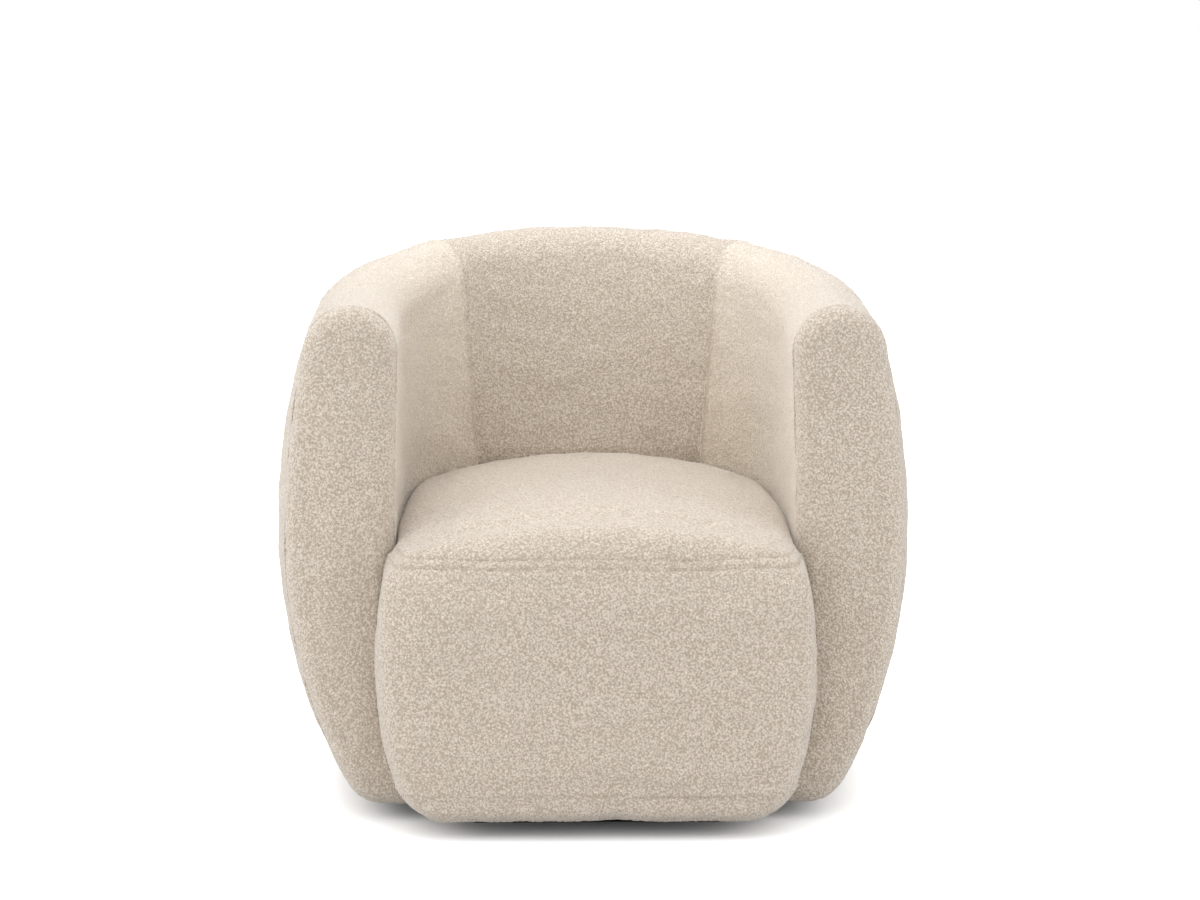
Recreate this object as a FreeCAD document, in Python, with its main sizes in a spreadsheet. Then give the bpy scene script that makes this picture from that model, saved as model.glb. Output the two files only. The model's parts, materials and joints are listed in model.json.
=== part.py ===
import FreeCAD, Part
import math
import os
import Sketcher

# Upholstered swivel tub chair. Millimetres, +Z up, front towards -Y.
# Origin: the swivel axis on the floor.

Vec = FreeCAD.Vector
doc = FreeCAD.newDocument("tub_chair")
sheet = doc.addObject("Spreadsheet::Sheet", "dims")

DIMENSIONS = {
    # shell, outside
    "half_width": 414, "half_depth": 400, "arm_taper": 35, "outer_power": 2.25,
    "arm_front": 300, "floor_gap": 18, "widest_level": 338, "belly_radius": 620,
    "hem_radius": 55, "front_round": 28,
    # shell, rim
    "back_height": 716, "arm_height": 641, "side_fall": 105, "arm_fall": 81,
    "back_fall": 78, "crest_power": 2.1, "roll_radius": 58, "lip_radius": 56,
    # shell, inner wall
    "side_thick": 160, "arm_thick": 131, "back_thick": 210, "inner_power": 3.2,
    "lean_level": 408, "tuck_level": 296, "back_pad_extra": 16, "seam_angle": 42, "sole_width": 2,
    # layers under the shell surface
    "cover": 3, "play": 0.3, "outer_foam": 12, "inner_foam": 14, "liner": 2,
    "webbing": 1.6, "rib_margin": 2.6, "taper_power": 1.5,
    # seat pod
    "pod_reach": 100, "pod_lap": 22, "pod_tuck": 40, "pod_widest_level": 218,
    "pod_side_radius": 560, "pod_hem_radius": 65, "pod_edge_radius": 60,
    "crown_radius": 870, "crown_height": 413, "crown_peak": 90, "crown_front_fall": 30,
    "crown_rear_fall": 17, "nose_depth": 45, "nose_top": 85, "nose_side": 32,
    "nose_hem": 20, "fit_gap": 0.6, "seat_seam": 339, "hem_seam": 56,
    "hem_flange": 35,
    # wooden frame
    "board_bottom": 37, "board_thick": 18, "box_lap": 36, "box_setback": 33,
    "board_margin": 14, "rib_thick": 18, "rail_thick": 25, "rail_top": 291,
    "box_rear_clear": 65, "rail_width": 24, "rail_height": 34, "rail_drop": 26,
    "rail_reach": 4, "batten_width": 38, "batten_margin": 62, "block_size": 40,
    "block_height": 120, "spacer_width": 25, "arm_rib_place": 135, "side_rib_angle": 88,
    "quarter_rib_turn": 6, "back_rib_angle": 20,
    # seat suspension
    "spring_wire": 3.8, "spring_pitch": 40, "spring_half": 22, "spring_margin": 72,
    "spring_count": 5, "clip_half": 8, "insulator_thick": 6, "insulator_margin": 32,
    "seat_foam_bottom": 306,
    # swivel base
    "pad_thick": 3, "pad_radius": 15, "pad_circle": 262, "pad_count": 8,
    "disc_radius": 300, "disc_thick": 12, "disc_edge": 3, "plate_half": 110,
    "plate_thick": 3, "track_circle": 70, "track_half": 12, "track_height": 7,
    "ball_radius": 4, "ball_count": 20, "ball_play": 0.3, "cage_thick": 1.2,
    "cage_half": 10, "pin_radius": 8, "pin_play": 0.3, "pin_clear": 0.08, "flange_radius": 14,
    "flange_thick": 2.7, "well_radius": 20, "screw_offset": 95, "screw_radius": 2.5,
    "head_radius": 5, "head_thick": 2.5, "screw_length": 11, "dust_hole": 170,
    "dust_thick": 0.8, "dust_margin": 8,
}

# Sizes that follow from the ones above
DERIVED = {
    "arm_half_width": "half_width - arm_taper",
    "crest_side": "half_width - side_fall",
    "crest_arm": "arm_half_width - arm_fall",
    "crest_back": "half_depth - back_fall",
    "inner_side": "half_width - side_thick",
    "inner_arm": "arm_half_width - arm_thick",
    "inner_back": "half_depth - back_thick",
    "pod_front": "arm_front + pod_reach",
    "pod_half_width": "inner_arm + pod_lap",
    "pod_rear": "inner_back + pod_tuck",
    "box_half_width": "inner_arm - box_lap",
    "box_front": "pod_front - box_setback",
    "box_rear": "inner_back - box_rear_clear",
    "batten_half": "box_half_width - batten_margin",
    "insulator_half": "box_half_width - insulator_margin",
    "spring_spacing": "2 * (box_half_width - spring_margin) / (spring_count - 1)",
    "quarter_rib_angle": "atan(box_half_width / (box_rear + rail_thick)) / 1deg + quarter_rib_turn",
}

for row, (alias, value) in enumerate((DIMENSIONS | DERIVED).items(), start=1):
    sheet.set("A%d" % row, alias)
    sheet.set("B%d" % row, "=" + value if alias in DERIVED else str(value))
    sheet.setAlias("B%d" % row, alias)
doc.recompute()


def dim(alias):
    return float(sheet.get(alias))


NODES = []


def node(piece, label):
    """Names an object as one of the chair's sub-parts."""
    piece.Label = label
    NODES.append(piece)
    return piece


def made(label, shape):
    """A sub-part whose shape is built from the sheet by the functions below."""
    piece = doc.addObject("Part::Feature", label)
    piece.Shape = shape
    piece.Placement = FreeCAD.Placement()
    return node(piece, label)


def box(name, corner, size):
    """A Part::Box with its corner and size as expressions."""
    piece = doc.addObject("Part::Box", name)
    for axis, expression in zip("xyz", corner):
        piece.setExpression("Placement.Base." + axis, expression)
    for side, expression in zip(("Length", "Width", "Height"), size):
        piece.setExpression(side, expression)
    return piece


def slab(x, y, z):
    """A plain box between pairs of limits."""
    size = [high - low for low, high in (x, y, z)]
    return Part.makeBox(*size, Vec(x[0], y[0], z[0]))


# Profile geometry
# A profile is a chain of spans in the plane of radius and height. Each span is
# a line or an arc, held as start, corner, end and the weight of the corner.

def on_circle(centre, radius, angle):
    return (centre[0] + radius * math.cos(angle), centre[1] + radius * math.sin(angle))


def arc(centre, radius, first, last):
    half = (last - first) / 2
    corner = on_circle(centre, radius / math.cos(half), first + half)
    start = on_circle(centre, radius, first)
    end = on_circle(centre, radius, last)
    return (start, corner, end, math.cos(half))


def line(start, end):
    middle = ((start[0] + end[0]) / 2, (start[1] + end[1]) / 2)
    return (start, middle, end, 1.0)


def turned(chain):
    """The same chain run the other way."""
    return [(end, corner, start, weight) for start, corner, end, weight in reversed(chain)]


def closed(chain):
    return chain + [line(chain[-1][2], chain[0][0])]


def band(outer, inner):
    """A closed loop between two chains."""
    return closed(outer + [line(outer[-1][2], inner[-1][2])] + turned(inner))


def direction(centre, point):
    return math.atan2(point[1] - centre[1], point[0] - centre[0])


# Skin over profiles

def across(points, steps):
    curve = Part.BSplineCurve()
    curve.interpolate(Points=points, Parameters=steps)
    return curve


def strip(spans, steps):
    """The surface that one span sweeps through all the stations."""
    poles, weights = [], []
    for k in range(3):
        row = [span[3] if k == 1 else 1.0 for span in spans]
        curve = across([span[k] * w for span, w in zip(spans, row)], steps)
        graph = across([Vec(w, s, 0) for w, s in zip(row, steps)], steps)
        scale = [pole.x for pole in graph.getPoles()]
        poles.append([pole / w for pole, w in zip(curve.getPoles(), scale)])
        weights.append(scale)
    surface = Part.BSplineSurface()
    surface.buildFromPolesMultsKnots(poles, [3, 3], curve.getMultiplicities(), [0.0, 1.0],
                                     curve.getKnots(), False, False, 2, curve.Degree, weights)
    return surface.toShape()


def outline(loop):
    edges = []
    for start, corner, end, weight in loop:
        curve = Part.BSplineCurve()
        curve.buildFromPolesMultsKnots([start, corner, end], [3, 3], [0.0, 1.0], False, 2,
                                       [1.0, weight, 1.0])
        edges.append(curve.toShape())
    return Part.Wire(edges)


def skin(loops):
    """A solid through closed loops, with flat ends."""
    steps = [0.0]
    for one, other in zip(loops, loops[1:]):
        gaps = [a[0].distanceToPoint(b[0]) for a, b in zip(one, other)]
        steps.append(steps[-1] + sum(gaps) / len(gaps))
    faces = [strip([loop[k] for loop in loops], steps) for k in range(len(loops[0]))]
    faces += [Part.Face(outline(loops[0])), Part.Face(outline(loops[-1]))]
    shell = Part.makeShell(faces)
    shell.sewShape()
    solid = Part.makeSolid(shell)
    if solid.Volume < 0:
        solid.reverse()
    return solid


# Shell form
# The arms are cut by planes across Y, the back by planes through the axis.

LEFT, RIGHT = -1, 1


class Station:
    """One cutting plane of the shell: arms by y, back by angle from +Y."""

    def __init__(self, side, y=None, angle=None, inset=0.0):
        self.side = side
        self.y = y
        self.angle = None if angle is None else math.radians(angle)
        self.inset = inset
        self.outer = self.plan("arm_half_width", "half_width", "half_depth", "outer_power")
        self.crest = self.plan("crest_arm", "crest_side", "crest_back", "crest_power")
        self.inner = self.plan("inner_arm", "inner_side", "inner_back", "inner_power")
        depth = self.shape_y() if angle is None else self.crest * math.cos(self.angle)
        rise = (depth + dim("arm_front")) / (dim("arm_front") + dim("crest_back"))
        self.rim = dim("arm_height") + (dim("back_height") - dim("arm_height")) * rise ** 2

    def shape_y(self):
        return max(self.y, dim("front_round") - dim("arm_front"))

    def plan(self, front, side, back, power):
        """Distance of a plan curve from the mid plane or from the axis."""
        if self.angle is None:
            taper = (abs(self.shape_y()) / dim("arm_front")) ** dim("taper_power")
            return dim(side) - (dim(side) - dim(front)) * taper
        across_part = (abs(math.sin(self.angle)) / dim(side)) ** dim(power)
        along_part = (math.cos(self.angle) / dim(back)) ** dim(power)
        return (across_part + along_part) ** (-1 / dim(power))

    def back_share(self):
        return 0.0 if self.angle is None else math.cos(self.angle) ** 2

    def place(self, chain):
        """Puts a profile into this plane."""
        def spot(point):
            radius, height = point
            if self.angle is None:
                return Vec(self.side * radius, self.y, height)
            return Vec(self.side * radius * math.sin(self.angle),
                       radius * math.cos(self.angle), height)
        return [(spot(a), spot(b), spot(c), weight) for a, b, c, weight in chain]


def contour(station, outside, inside, sill=None):
    """The profile of the shell at a station, inset from its two sides."""
    outside += station.inset
    inside += station.inset
    level = dim("widest_level")
    roll = dim("roll_radius")
    run = station.outer - station.crest
    climb = station.rim - roll - level
    flank = (run ** 2 + climb ** 2 - roll ** 2) / (2 * (run - roll))
    hem = dim("hem_radius") - outside
    lip = dim("lip_radius") - inside
    belly = dim("belly_radius") - outside

    belly_centre = (station.outer - dim("belly_radius"), level)
    flank_centre = (station.outer - flank, level)
    roll_centre = (station.crest, station.rim - roll)
    lip_centre = (station.crest, station.rim - outside - lip)
    hem_level = dim("floor_gap") + dim("hem_radius")
    hem_reach = math.sqrt((belly - hem) ** 2 - (level - hem_level) ** 2)
    hem_centre = (belly_centre[0] + hem_reach, hem_level)

    foot = (station.inner + inside, dim("tuck_level") if sill is None else sill)
    knee = (station.inner + inside, dim("lean_level"))
    reach = math.hypot(lip_centre[0] - knee[0], lip_centre[1] - knee[1])
    lean = math.acos(lip / reach) - direction(knee, lip_centre)
    touch = on_circle(lip_centre, lip, math.pi - lean)

    sole_reach = max(0.0, foot[0] + dim("sole_width") - hem_centre[0])
    hem_end = direction(belly_centre, hem_centre)
    lower_start = hem_end if sill is None else math.asin((sill - level) / belly)
    roll_start = direction(flank_centre, roll_centre)
    return {
        "hem": arc(hem_centre, hem, -math.pi / 2, hem_end),
        "sole": arc(hem_centre, hem, -math.acos(sole_reach / hem), hem_end),
        "lower": arc(belly_centre, belly, lower_start, 0.0),
        "upper": arc(flank_centre, flank - outside, 0.0, roll_start),
        "roll": arc(roll_centre, roll - outside, roll_start, math.pi / 2),
        "lip": arc(lip_centre, lip, math.pi / 2, math.pi - lean),
        "lean": line(touch, knee),
        "wall": line(knee, foot),
    }


def chain(station, names, outside, inside, sill=None):
    spans = contour(station, outside, inside, sill)
    return [spans[name] for name in names]


OUTSIDE = ("hem", "lower", "upper")
INSIDE = ("roll", "lip", "lean", "wall")
FULL = OUTSIDE + INSIDE


def nose_stations(side, inset):
    """Stations that round the front end of an arm."""
    radius = dim("front_round") - inset
    start = dim("front_round") - dim("arm_front")
    rows = []
    for angle in (0, 30, 60, 90):
        turn = math.radians(angle)
        rows.append(Station(side, y=start - radius * math.cos(turn),
                            inset=radius * (1 - math.sin(turn))))
    return rows


QUARTERS = (1.0, 0.75, 0.5, 0.25)
CORNER_SHARES = (1.0, 0.76, 0.52, 0.26, 0.0)


def arm_stations(side):
    start = dim("front_round") - dim("arm_front")
    seam = dim("seam_angle")
    angles = [seam + (90 - seam) * share for share in CORNER_SHARES]
    return ([Station(side, y=start * share) for share in QUARTERS]
            + [Station(side, angle=angle) for angle in angles])


def back_stations():
    shares = [-share for share in QUARTERS] + [0.0] + list(reversed(QUARTERS))
    return [Station(RIGHT, angle=dim("seam_angle") * share) for share in shares]


def all_stations():
    """From the left arm's front, round the back, to the right arm's front."""
    return arm_stations(LEFT) + back_stations()[1:-1] + arm_stations(RIGHT)[::-1]


def floor_loop(station, inset):
    """The whole profile down to the underside."""
    spans = chain(station, ("sole",) + FULL[1:-1], inset, inset)
    knee = spans[-1][2]
    foot = (knee[0], spans[0][0][1])
    return station.place(closed(spans + [line(knee, foot)]))


def shell_solids(inset):
    """The shell as three solids, used to fit the seat pod against it."""
    solids = []
    for side in (LEFT, RIGHT):
        rows = nose_stations(side, inset)[:-1] + arm_stations(side)
        solids.append(skin([floor_loop(row, inset) for row in rows]))
    solids.append(skin([floor_loop(row, inset) for row in back_stations()]))
    return solids


def nose_solid(side, inset):
    """The rounded front end of an arm, at an inset from its surface."""
    return skin([floor_loop(row, inset) for row in nose_stations(side, inset)])


def layer(rows, names, outer, inner, sill=None):
    """A layer over part of the shell: outer and inner give (outside, inside) insets."""
    loops = []
    for row in rows:
        extra = dim("back_pad_extra") * row.back_share()
        near = chain(row, names, outer[0], outer[1] + outer[2] * extra, sill)
        far = chain(row, names, inner[0], inner[1] + inner[2] * extra, sill)
        loops.append(row.place(band(near, far)))
    return skin(loops)


# Insets of the layers, each (outside, inside, share of the back's extra padding)

SURFACE = (0.0, 0.0, 0.0)
COVER_BACK = (dim("cover"), dim("cover"), 0.0)
FOAM_FACE = (dim("cover") + dim("play"),) * 2 + (0.0,)
FOAM_BACK = (FOAM_FACE[0] + dim("outer_foam"), FOAM_FACE[1] + dim("inner_foam"), 1.0)
LINER_FACE = (FOAM_BACK[0] + dim("play"), FOAM_BACK[1] + dim("play"), 1.0)
LINER_BACK = (LINER_FACE[0] + dim("liner"), LINER_FACE[1] + dim("webbing"), 1.0)
RIB_FACE = (LINER_BACK[0] + dim("rib_margin"), LINER_BACK[1] + dim("rib_margin"), 1.0)
BOARD_TOP = dim("board_bottom") + dim("board_thick")
SIDES = ((LEFT, "left"), (RIGHT, "right"))


def flanged(rows):
    """Outside cover with a flange turned in under the chair."""
    loops = []
    for row in rows:
        near = chain(row, OUTSIDE, 0.0, 0.0)
        far = chain(row, OUTSIDE, dim("cover"), dim("cover"))
        edge = near[0][0][0] - dim("hem_flange")
        near = [line((edge, near[0][0][1]), near[0][0])] + near
        far = [line((edge, far[0][0][1]), far[0][0])] + far
        loops.append(row.place(band(near, far)))
    return skin(loops)


def add_shell_upholstery():
    for side, name in SIDES:
        rows = arm_stations(side)
        made("inside_arm_cover_" + name, layer(rows, INSIDE, SURFACE, COVER_BACK))
        made("outside_arm_cover_" + name, flanged(rows))
        cover = nose_solid(side, 0.0).cut(nose_solid(side, dim("cover")))
        made("arm_front_cover_" + name, cover)
        made("inside_arm_foam_" + name, layer(rows, INSIDE, FOAM_FACE, FOAM_BACK))
        made("outside_arm_foam_" + name, layer(rows, OUTSIDE, FOAM_FACE, FOAM_BACK))
        made("arm_front_pad_" + name, nose_solid(side, FOAM_FACE[0]))
    rows = back_stations()
    made("inside_back_cover", layer(rows, INSIDE, SURFACE, COVER_BACK))
    made("outside_back_cover", flanged(rows))
    made("inside_back_foam", layer(rows, INSIDE, FOAM_FACE, FOAM_BACK))
    made("outside_back_foam", layer(rows, OUTSIDE, FOAM_FACE, FOAM_BACK))


def add_shell_frame():
    sill = BOARD_TOP + dim("play")
    liners, webs = [], []
    for rows in (arm_stations(LEFT), back_stations(), arm_stations(RIGHT)):
        liners.append(layer(rows, ("lower", "upper"), LINER_FACE, LINER_BACK, sill))
        webs.append(layer(rows, ("lean", "wall"), LINER_FACE, LINER_BACK))
    made("outer_liner", Part.makeCompound(liners))
    made("inner_webbing", Part.makeCompound(webs))
    rail = top_rail(all_stations())
    made("top_rail", rail)
    front = dim("front_round") - dim("arm_front") + dim("play")
    for side, name in SIDES:
        made("arm_front_rib_" + name, rib(Station(side, y=front), 0.0, rail))
        made("arm_rib_" + name, rib(Station(side, y=-dim("arm_rib_place")), -0.5, rail))
        made("side_rib_" + name, rib(Station(side, angle=dim("side_rib_angle")), -0.5, rail))
        made("quarter_rib_" + name, rib(Station(side, angle=dim("quarter_rib_angle")), -0.5, rail))
        made("back_rib_" + name, rib(Station(side, angle=dim("back_rib_angle")), -0.5, rail))


def top_rail(rows):
    loops = []
    for row in rows:
        inner = row.crest - dim("rail_reach")
        top = row.rim - dim("rail_drop")
        outer = inner + dim("rail_width")
        low = top - dim("rail_height")
        corners = [(inner, low), (outer, low), (outer, top), (inner, top)]
        sides = [line(a, b) for a, b in zip(corners, corners[1:] + corners[:1])]
        loops.append(row.place(sides))
    return skin(loops)


def rib(station, start, rail):
    """A plywood rib standing on the board, notched for the top rail."""
    extra = dim("back_pad_extra") * station.back_share()
    spans = chain(station, FULL[1:], RIB_FACE[0], RIB_FACE[1] + extra, BOARD_TOP)
    step = (spans[-1][2][0], dim("tuck_level") - dim("play"))
    toe = (station.inner + dim("play"), step[1])
    heel = (toe[0], BOARD_TOP)
    spans = spans[:-1] + [line(spans[-1][0], step), line(step, toe), line(toe, heel)]
    face = Part.Face(outline(station.place(closed(spans))))
    normal = face.normalAt(0, 0)
    ahead = Vec(0, 1, 0)
    if station.angle is not None:
        ahead = Vec(0, 0, 1).cross(face.CenterOfMass)
    if normal.dot(ahead) < 0:
        normal = normal * -1
    face.translate(normal * dim("rib_thick") * start)
    return face.extrude(normal * dim("rib_thick")).cut(rail)


# Seat pod

def crossing(centre_a, radius_a, centre_b, radius_b):
    """Where two circles meet, on the side of larger x."""
    span = math.hypot(centre_b[0] - centre_a[0], centre_b[1] - centre_a[1])
    along = (radius_a ** 2 - radius_b ** 2 + span ** 2) / (2 * span)
    off = math.sqrt(radius_a ** 2 - along ** 2)
    heading = direction(centre_a, centre_b)
    spots = []
    for turn in (off, -off):
        spots.append((centre_a[0] + along * math.cos(heading) - turn * math.sin(heading),
                      centre_a[1] + along * math.sin(heading) + turn * math.cos(heading)))
    return max(spots)


def crown_at(y):
    offset = y + dim("crown_peak")
    if offset < 0:
        span = dim("pod_front") - dim("nose_depth") - dim("crown_peak")
        return dim("crown_height") - dim("crown_front_fall") * (offset / span) ** 2
    span = dim("crown_peak") + dim("pod_rear")
    return dim("crown_height") - dim("crown_rear_fall") * (offset / span) ** 2


def pod_loop(y, side_inset, top_inset, hem_inset):
    """The pod's cross-section at one y."""
    flank = dim("pod_side_radius")
    flank_centre = (dim("pod_half_width") - flank, dim("pod_widest_level"))
    flank -= side_inset
    crown_centre = (0.0, crown_at(y) - dim("crown_radius"))
    crown = dim("crown_radius") - top_inset
    edge = dim("pod_edge_radius") - side_inset
    edge_centre = crossing(flank_centre, flank - edge, crown_centre, crown - edge)
    hem = dim("pod_hem_radius") - hem_inset
    hem_level = dim("floor_gap") + dim("pod_hem_radius")
    reach = math.sqrt((flank - hem) ** 2 - (hem_level - flank_centre[1]) ** 2)
    hem_centre = (flank_centre[0] + reach, hem_level)
    hem_end = direction(flank_centre, hem_centre)
    edge_start = direction(flank_centre, edge_centre)
    edge_end = direction(crown_centre, edge_centre)
    half = [
        line((0.0, hem_level - hem), (hem_centre[0], hem_level - hem)),
        arc(hem_centre, hem, -math.pi / 2, hem_end),
        arc(flank_centre, flank, hem_end, edge_start),
        arc(edge_centre, edge, edge_start, edge_end),
        arc(crown_centre, crown, edge_end, math.pi / 2),
    ]
    mirrored = [tuple((-x, z) for x, z in span[:3]) + span[3:] for span in half]
    whole = half + turned(mirrored)
    return [tuple(Vec(x, y, z) for x, z in span[:3]) + span[3:] for span in whole]


def pod_nose(inset):
    loops = []
    for angle in (0, 25, 50, 70, 90):
        turn = math.radians(angle)
        share = 1 - math.sin(turn)
        insets = [inset + (dim(name) - inset) * share
                  for name in ("nose_side", "nose_top", "nose_hem")]
        y = inset - dim("pod_front") + (dim("nose_depth") - inset) * (1 - math.cos(turn))
        loops.append(pod_loop(y, *insets))
    return loops


def pod_solid(inset):
    """The whole pod: its nose, a close row to hold it level, then even rows."""
    front = dim("nose_depth") - dim("pod_front")
    run = dim("pod_rear") - front
    shares = (0.035, 0.1, 0.25, 0.4, 0.55, 0.7, 0.85, 1.0)
    rows = [pod_loop(front + run * share, inset, inset, inset) for share in shares]
    return skin(pod_nose(inset) + rows)


def less(solid, tools):
    for tool in tools:
        solid = solid.cut(tool)
    return solid


def add_seat():
    seam = dim("seat_seam")
    wide = (-dim("half_width"), dim("half_width"))
    ahead = (-dim("pod_front") - 1, -dim("arm_front") - dim("fit_gap"))
    whole = (-dim("pod_front") - 1, dim("half_depth"))
    top = dim("arm_height")
    above = slab(wide, whole, (seam, top))
    fit = dim("fit_gap")
    outer = less(pod_solid(0.0).common(above), shell_solids(-fit))
    inner = less(pod_solid(dim("cover")).common(above), shell_solids(-fit - dim("cover")))
    made("seat_top_cover", outer.cut(inner))

    front = pod_solid(0.0).cut(pod_solid(dim("cover")))
    panel = front.common(slab(wide, ahead, (dim("hem_seam"), seam)))
    made("front_panel_cover", panel)
    half = dim("batten_half") - dim("hem_flange") / 2
    edge = 1.5 * dim("hem_flange") - dim("pod_front")
    opening = slab((-half, half), (edge, 0), (0, dim("hem_seam")))
    hem = front.common(slab(wide, ahead, (0, dim("hem_seam"))))
    made("hem_band_cover", hem.cut(opening))

    clear = dim("cover") + dim("play")
    level = dim("seat_foam_bottom")
    foam = pod_solid(clear).common(slab(wide, whole, (level, top)))
    made("seat_foam", less(foam, shell_solids(-fit - clear)))
    pad = pod_solid(clear).common(slab(wide, ahead, (0, level)))
    room = dim("box_half_width") + dim("play")
    core = slab((-room, room), (-dim("box_front") - dim("play"), 0), (0, level))
    made("front_pad", pad.cut(core))


def plan_curve(margin):
    """Plan line inside the hem of the shell, from arm front to arm front."""
    points = []
    for row in all_stations():
        centre = chain(row, ("hem",), 0.0, 0.0)[0][0][0]
        points.append(row.place([line((centre + margin, 0.0), (0.0, 0.0))])[0][0])
    curve = Part.BSplineCurve()
    curve.interpolate(points)
    return points, curve.toShape()


def plan_plate(margin, half, front, bottom, thick):
    """A plate inside the hem with a tongue forward under the seat pod."""
    points, curve = plan_curve(margin)
    start = points[0].y
    path = [points[-1], Vec(half, start, 0), Vec(half, -front, 0), Vec(-half, -front, 0),
            Vec(-half, start, 0), points[0]]
    sides = [Part.makeLine(a, b) for a, b in zip(path, path[1:])]
    face = Part.Face(Part.Wire([curve] + sides))
    plate = face.extrude(Vec(0, 0, thick))
    plate.translate(Vec(0, 0, bottom))
    return plate


def screw_spots(radius, bottom, height):
    offset = dim("screw_offset")
    corners = [(x * offset, y * offset) for x in (-1, 1) for y in (-1, 1)]
    return [Part.makeCylinder(radius, height, Vec(x, y, bottom)) for x, y in corners]


def add_board():
    bottom = dim("board_bottom")
    plate = plan_plate(dim("board_margin"), dim("box_half_width"), dim("box_front"), bottom,
                       dim("board_thick"))
    well = Part.makeCylinder(dim("well_radius"), dim("board_thick"), Vec(0, 0, bottom))
    depth = dim("screw_length") - dim("plate_thick")
    made("chassis_board", less(plate, [well] + screw_spots(dim("screw_radius"), bottom, depth)))

    loops = []
    low = dim("floor_gap") + dim("cover") + dim("play")
    for row in all_stations():
        outer = chain(row, ("hem",), 0.0, 0.0)[0][0][0] - dim("play")
        inner = outer - dim("batten_width")
        corners = [(inner, low), (outer, low), (outer, bottom), (inner, bottom)]
        sides = [line(a, b) for a, b in zip(corners, corners[1:] + corners[:1])]
        loops.append(row.place(sides))
    made("skirt_batten", skin(loops))

    dust = plan_plate(-dim("dust_margin"), dim("batten_half"), dim("box_front"),
                      dim("floor_gap") - dim("play") - dim("dust_thick"), dim("dust_thick"))
    hole = Part.makeCylinder(dim("dust_hole"), dim("floor_gap"))
    made("dust_cover", dust.cut(hole))


def add_seat_box():
    low = "dims.board_bottom + dims.board_thick"
    tall = "dims.rail_top - dims.board_bottom - dims.board_thick"
    half = "dims.box_half_width"
    thick = "dims.rail_thick"
    for label, y in (("front_rail", "-dims.box_front"), ("rear_rail", "dims.box_rear")):
        node(box(label, ("-" + half, y, low), ("2 * " + half, thick, tall)), label)
    near = "-dims.box_front + " + thick
    length = "dims.box_front + dims.box_rear - " + thick
    for label, x in (("side_rail_left", "-" + half), ("side_rail_right", half + " - " + thick)):
        node(box(label, (x, near, low), (thick, length, tall)), label)
    under = "dims.floor_gap + dims.cover + dims.play"
    batten_front = "dims.nose_depth - dims.pod_front"
    batten = box("front_batten", ("-dims.batten_half", batten_front, under),
                 ("2 * dims.batten_half", "dims.batten_width", "dims.board_bottom - (%s)" % under))
    node(batten, "front_batten")

    size = dim("block_size")
    levels = (BOARD_TOP, BOARD_TOP + dim("block_height"))
    inner = dim("box_half_width") - dim("rail_thick")
    near_y = dim("rail_thick") - dim("box_front")
    blocks = []
    for x in (-inner, inner - size):
        for y in (near_y, dim("box_rear") - size):
            blocks.append(slab((x, x + size), (y, y + size), levels))
    made("corner_blocks", Part.makeCompound(blocks))

    spacers = []
    front = dim("front_round") - dim("arm_front") + dim("play")
    for side in (LEFT, RIGHT):
        for y in (front, -dim("arm_rib_place"), -dim("rib_thick") / 2):
            toe = Station(side, y=y).inner
            reach = sorted((side * dim("box_half_width"), side * toe))
            spacers.append(slab(reach, (y, y + dim("spacer_width")), levels))
    made("rib_spacers", Part.makeCompound(spacers))


def spring_path(x, level):
    """A zigzag of half-round bends and straight runs along Y."""
    start = dim("rail_thick") / 2 - dim("box_front")
    end = dim("box_rear") + dim("rail_thick") / 2
    count = 2 * round((end - start) / dim("spring_pitch"))
    radius = (end - start) / count / 2
    reach = dim("spring_half") - radius
    edges = [Part.makeLine(Vec(x, start, level), Vec(x + reach, start, level))]
    for step in range(count):
        side = -1 if step % 2 else 1
        y = start + 2 * radius * step
        near = Vec(x + side * reach, y, level)
        tip = Vec(x + side * (reach + radius), y + radius, level)
        far = Vec(x + side * reach, y + 2 * radius, level)
        edges.append(Part.Arc(near, tip, far).toShape())
        target = x if step == count - 1 else x - side * reach
        edges.append(Part.makeLine(far, Vec(target, far.y, level)))
    return Part.Wire(edges)


def add_springs():
    wire = dim("spring_wire") / 2
    top = dim("seat_foam_bottom") - dim("insulator_thick")
    level = top - wire
    springs, clips = [], []
    for k in range(round(dim("spring_count"))):
        x = dim("spring_spacing") * (k - (dim("spring_count") - 1) / 2)
        path = spring_path(x, level)
        rear = dim("box_rear") + dim("rail_thick") / 2
        ends = [path.Edges[0].Vertexes[0].Point, Vec(x, rear, level)]
        profile = Part.Wire([Part.makeCircle(wire, ends[0], Vec(1, 0, 0))])
        springs.append(path.makePipeShell([profile], True, False))
        for end in ends:
            half = dim("clip_half")
            saddle = slab((x - half, x + half), (end.y - half, end.y + half), (dim("rail_top"), level))
            groove = Part.makeCylinder(wire, 2 * half, end - Vec(half, 0, 0), Vec(1, 0, 0))
            clips.append(saddle.cut(groove))
    made("sinuous_springs", Part.makeCompound(springs))
    made("spring_clips", Part.makeCompound(clips))
    half = "dims.insulator_half"
    corner = ("-" + half, "-dims.box_front", "dims.seat_foam_bottom - dims.insulator_thick")
    size = ("2 * " + half, "dims.box_front + dims.box_rear", "dims.insulator_thick")
    node(box("spring_insulator", corner, size), "spring_insulator")


# Swivel base

DISC_TOP = "dims.pad_thick + dims.disc_thick"


def body(label):
    return node(doc.addObject("PartDesign::Body", label), label)


def origin_part(owner, role):
    return next(item for item in owner.Origin.OriginFeatures if item.Role == role)


def sketch(owner, name, level="0", role="XY_Plane"):
    drawing = owner.newObject("Sketcher::SketchObject", name)
    drawing.AttachmentSupport = [(origin_part(owner, role), "")]
    drawing.MapMode = "FlatFace"
    drawing.setExpression("AttachmentOffset.Base.z", level)
    return drawing


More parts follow.
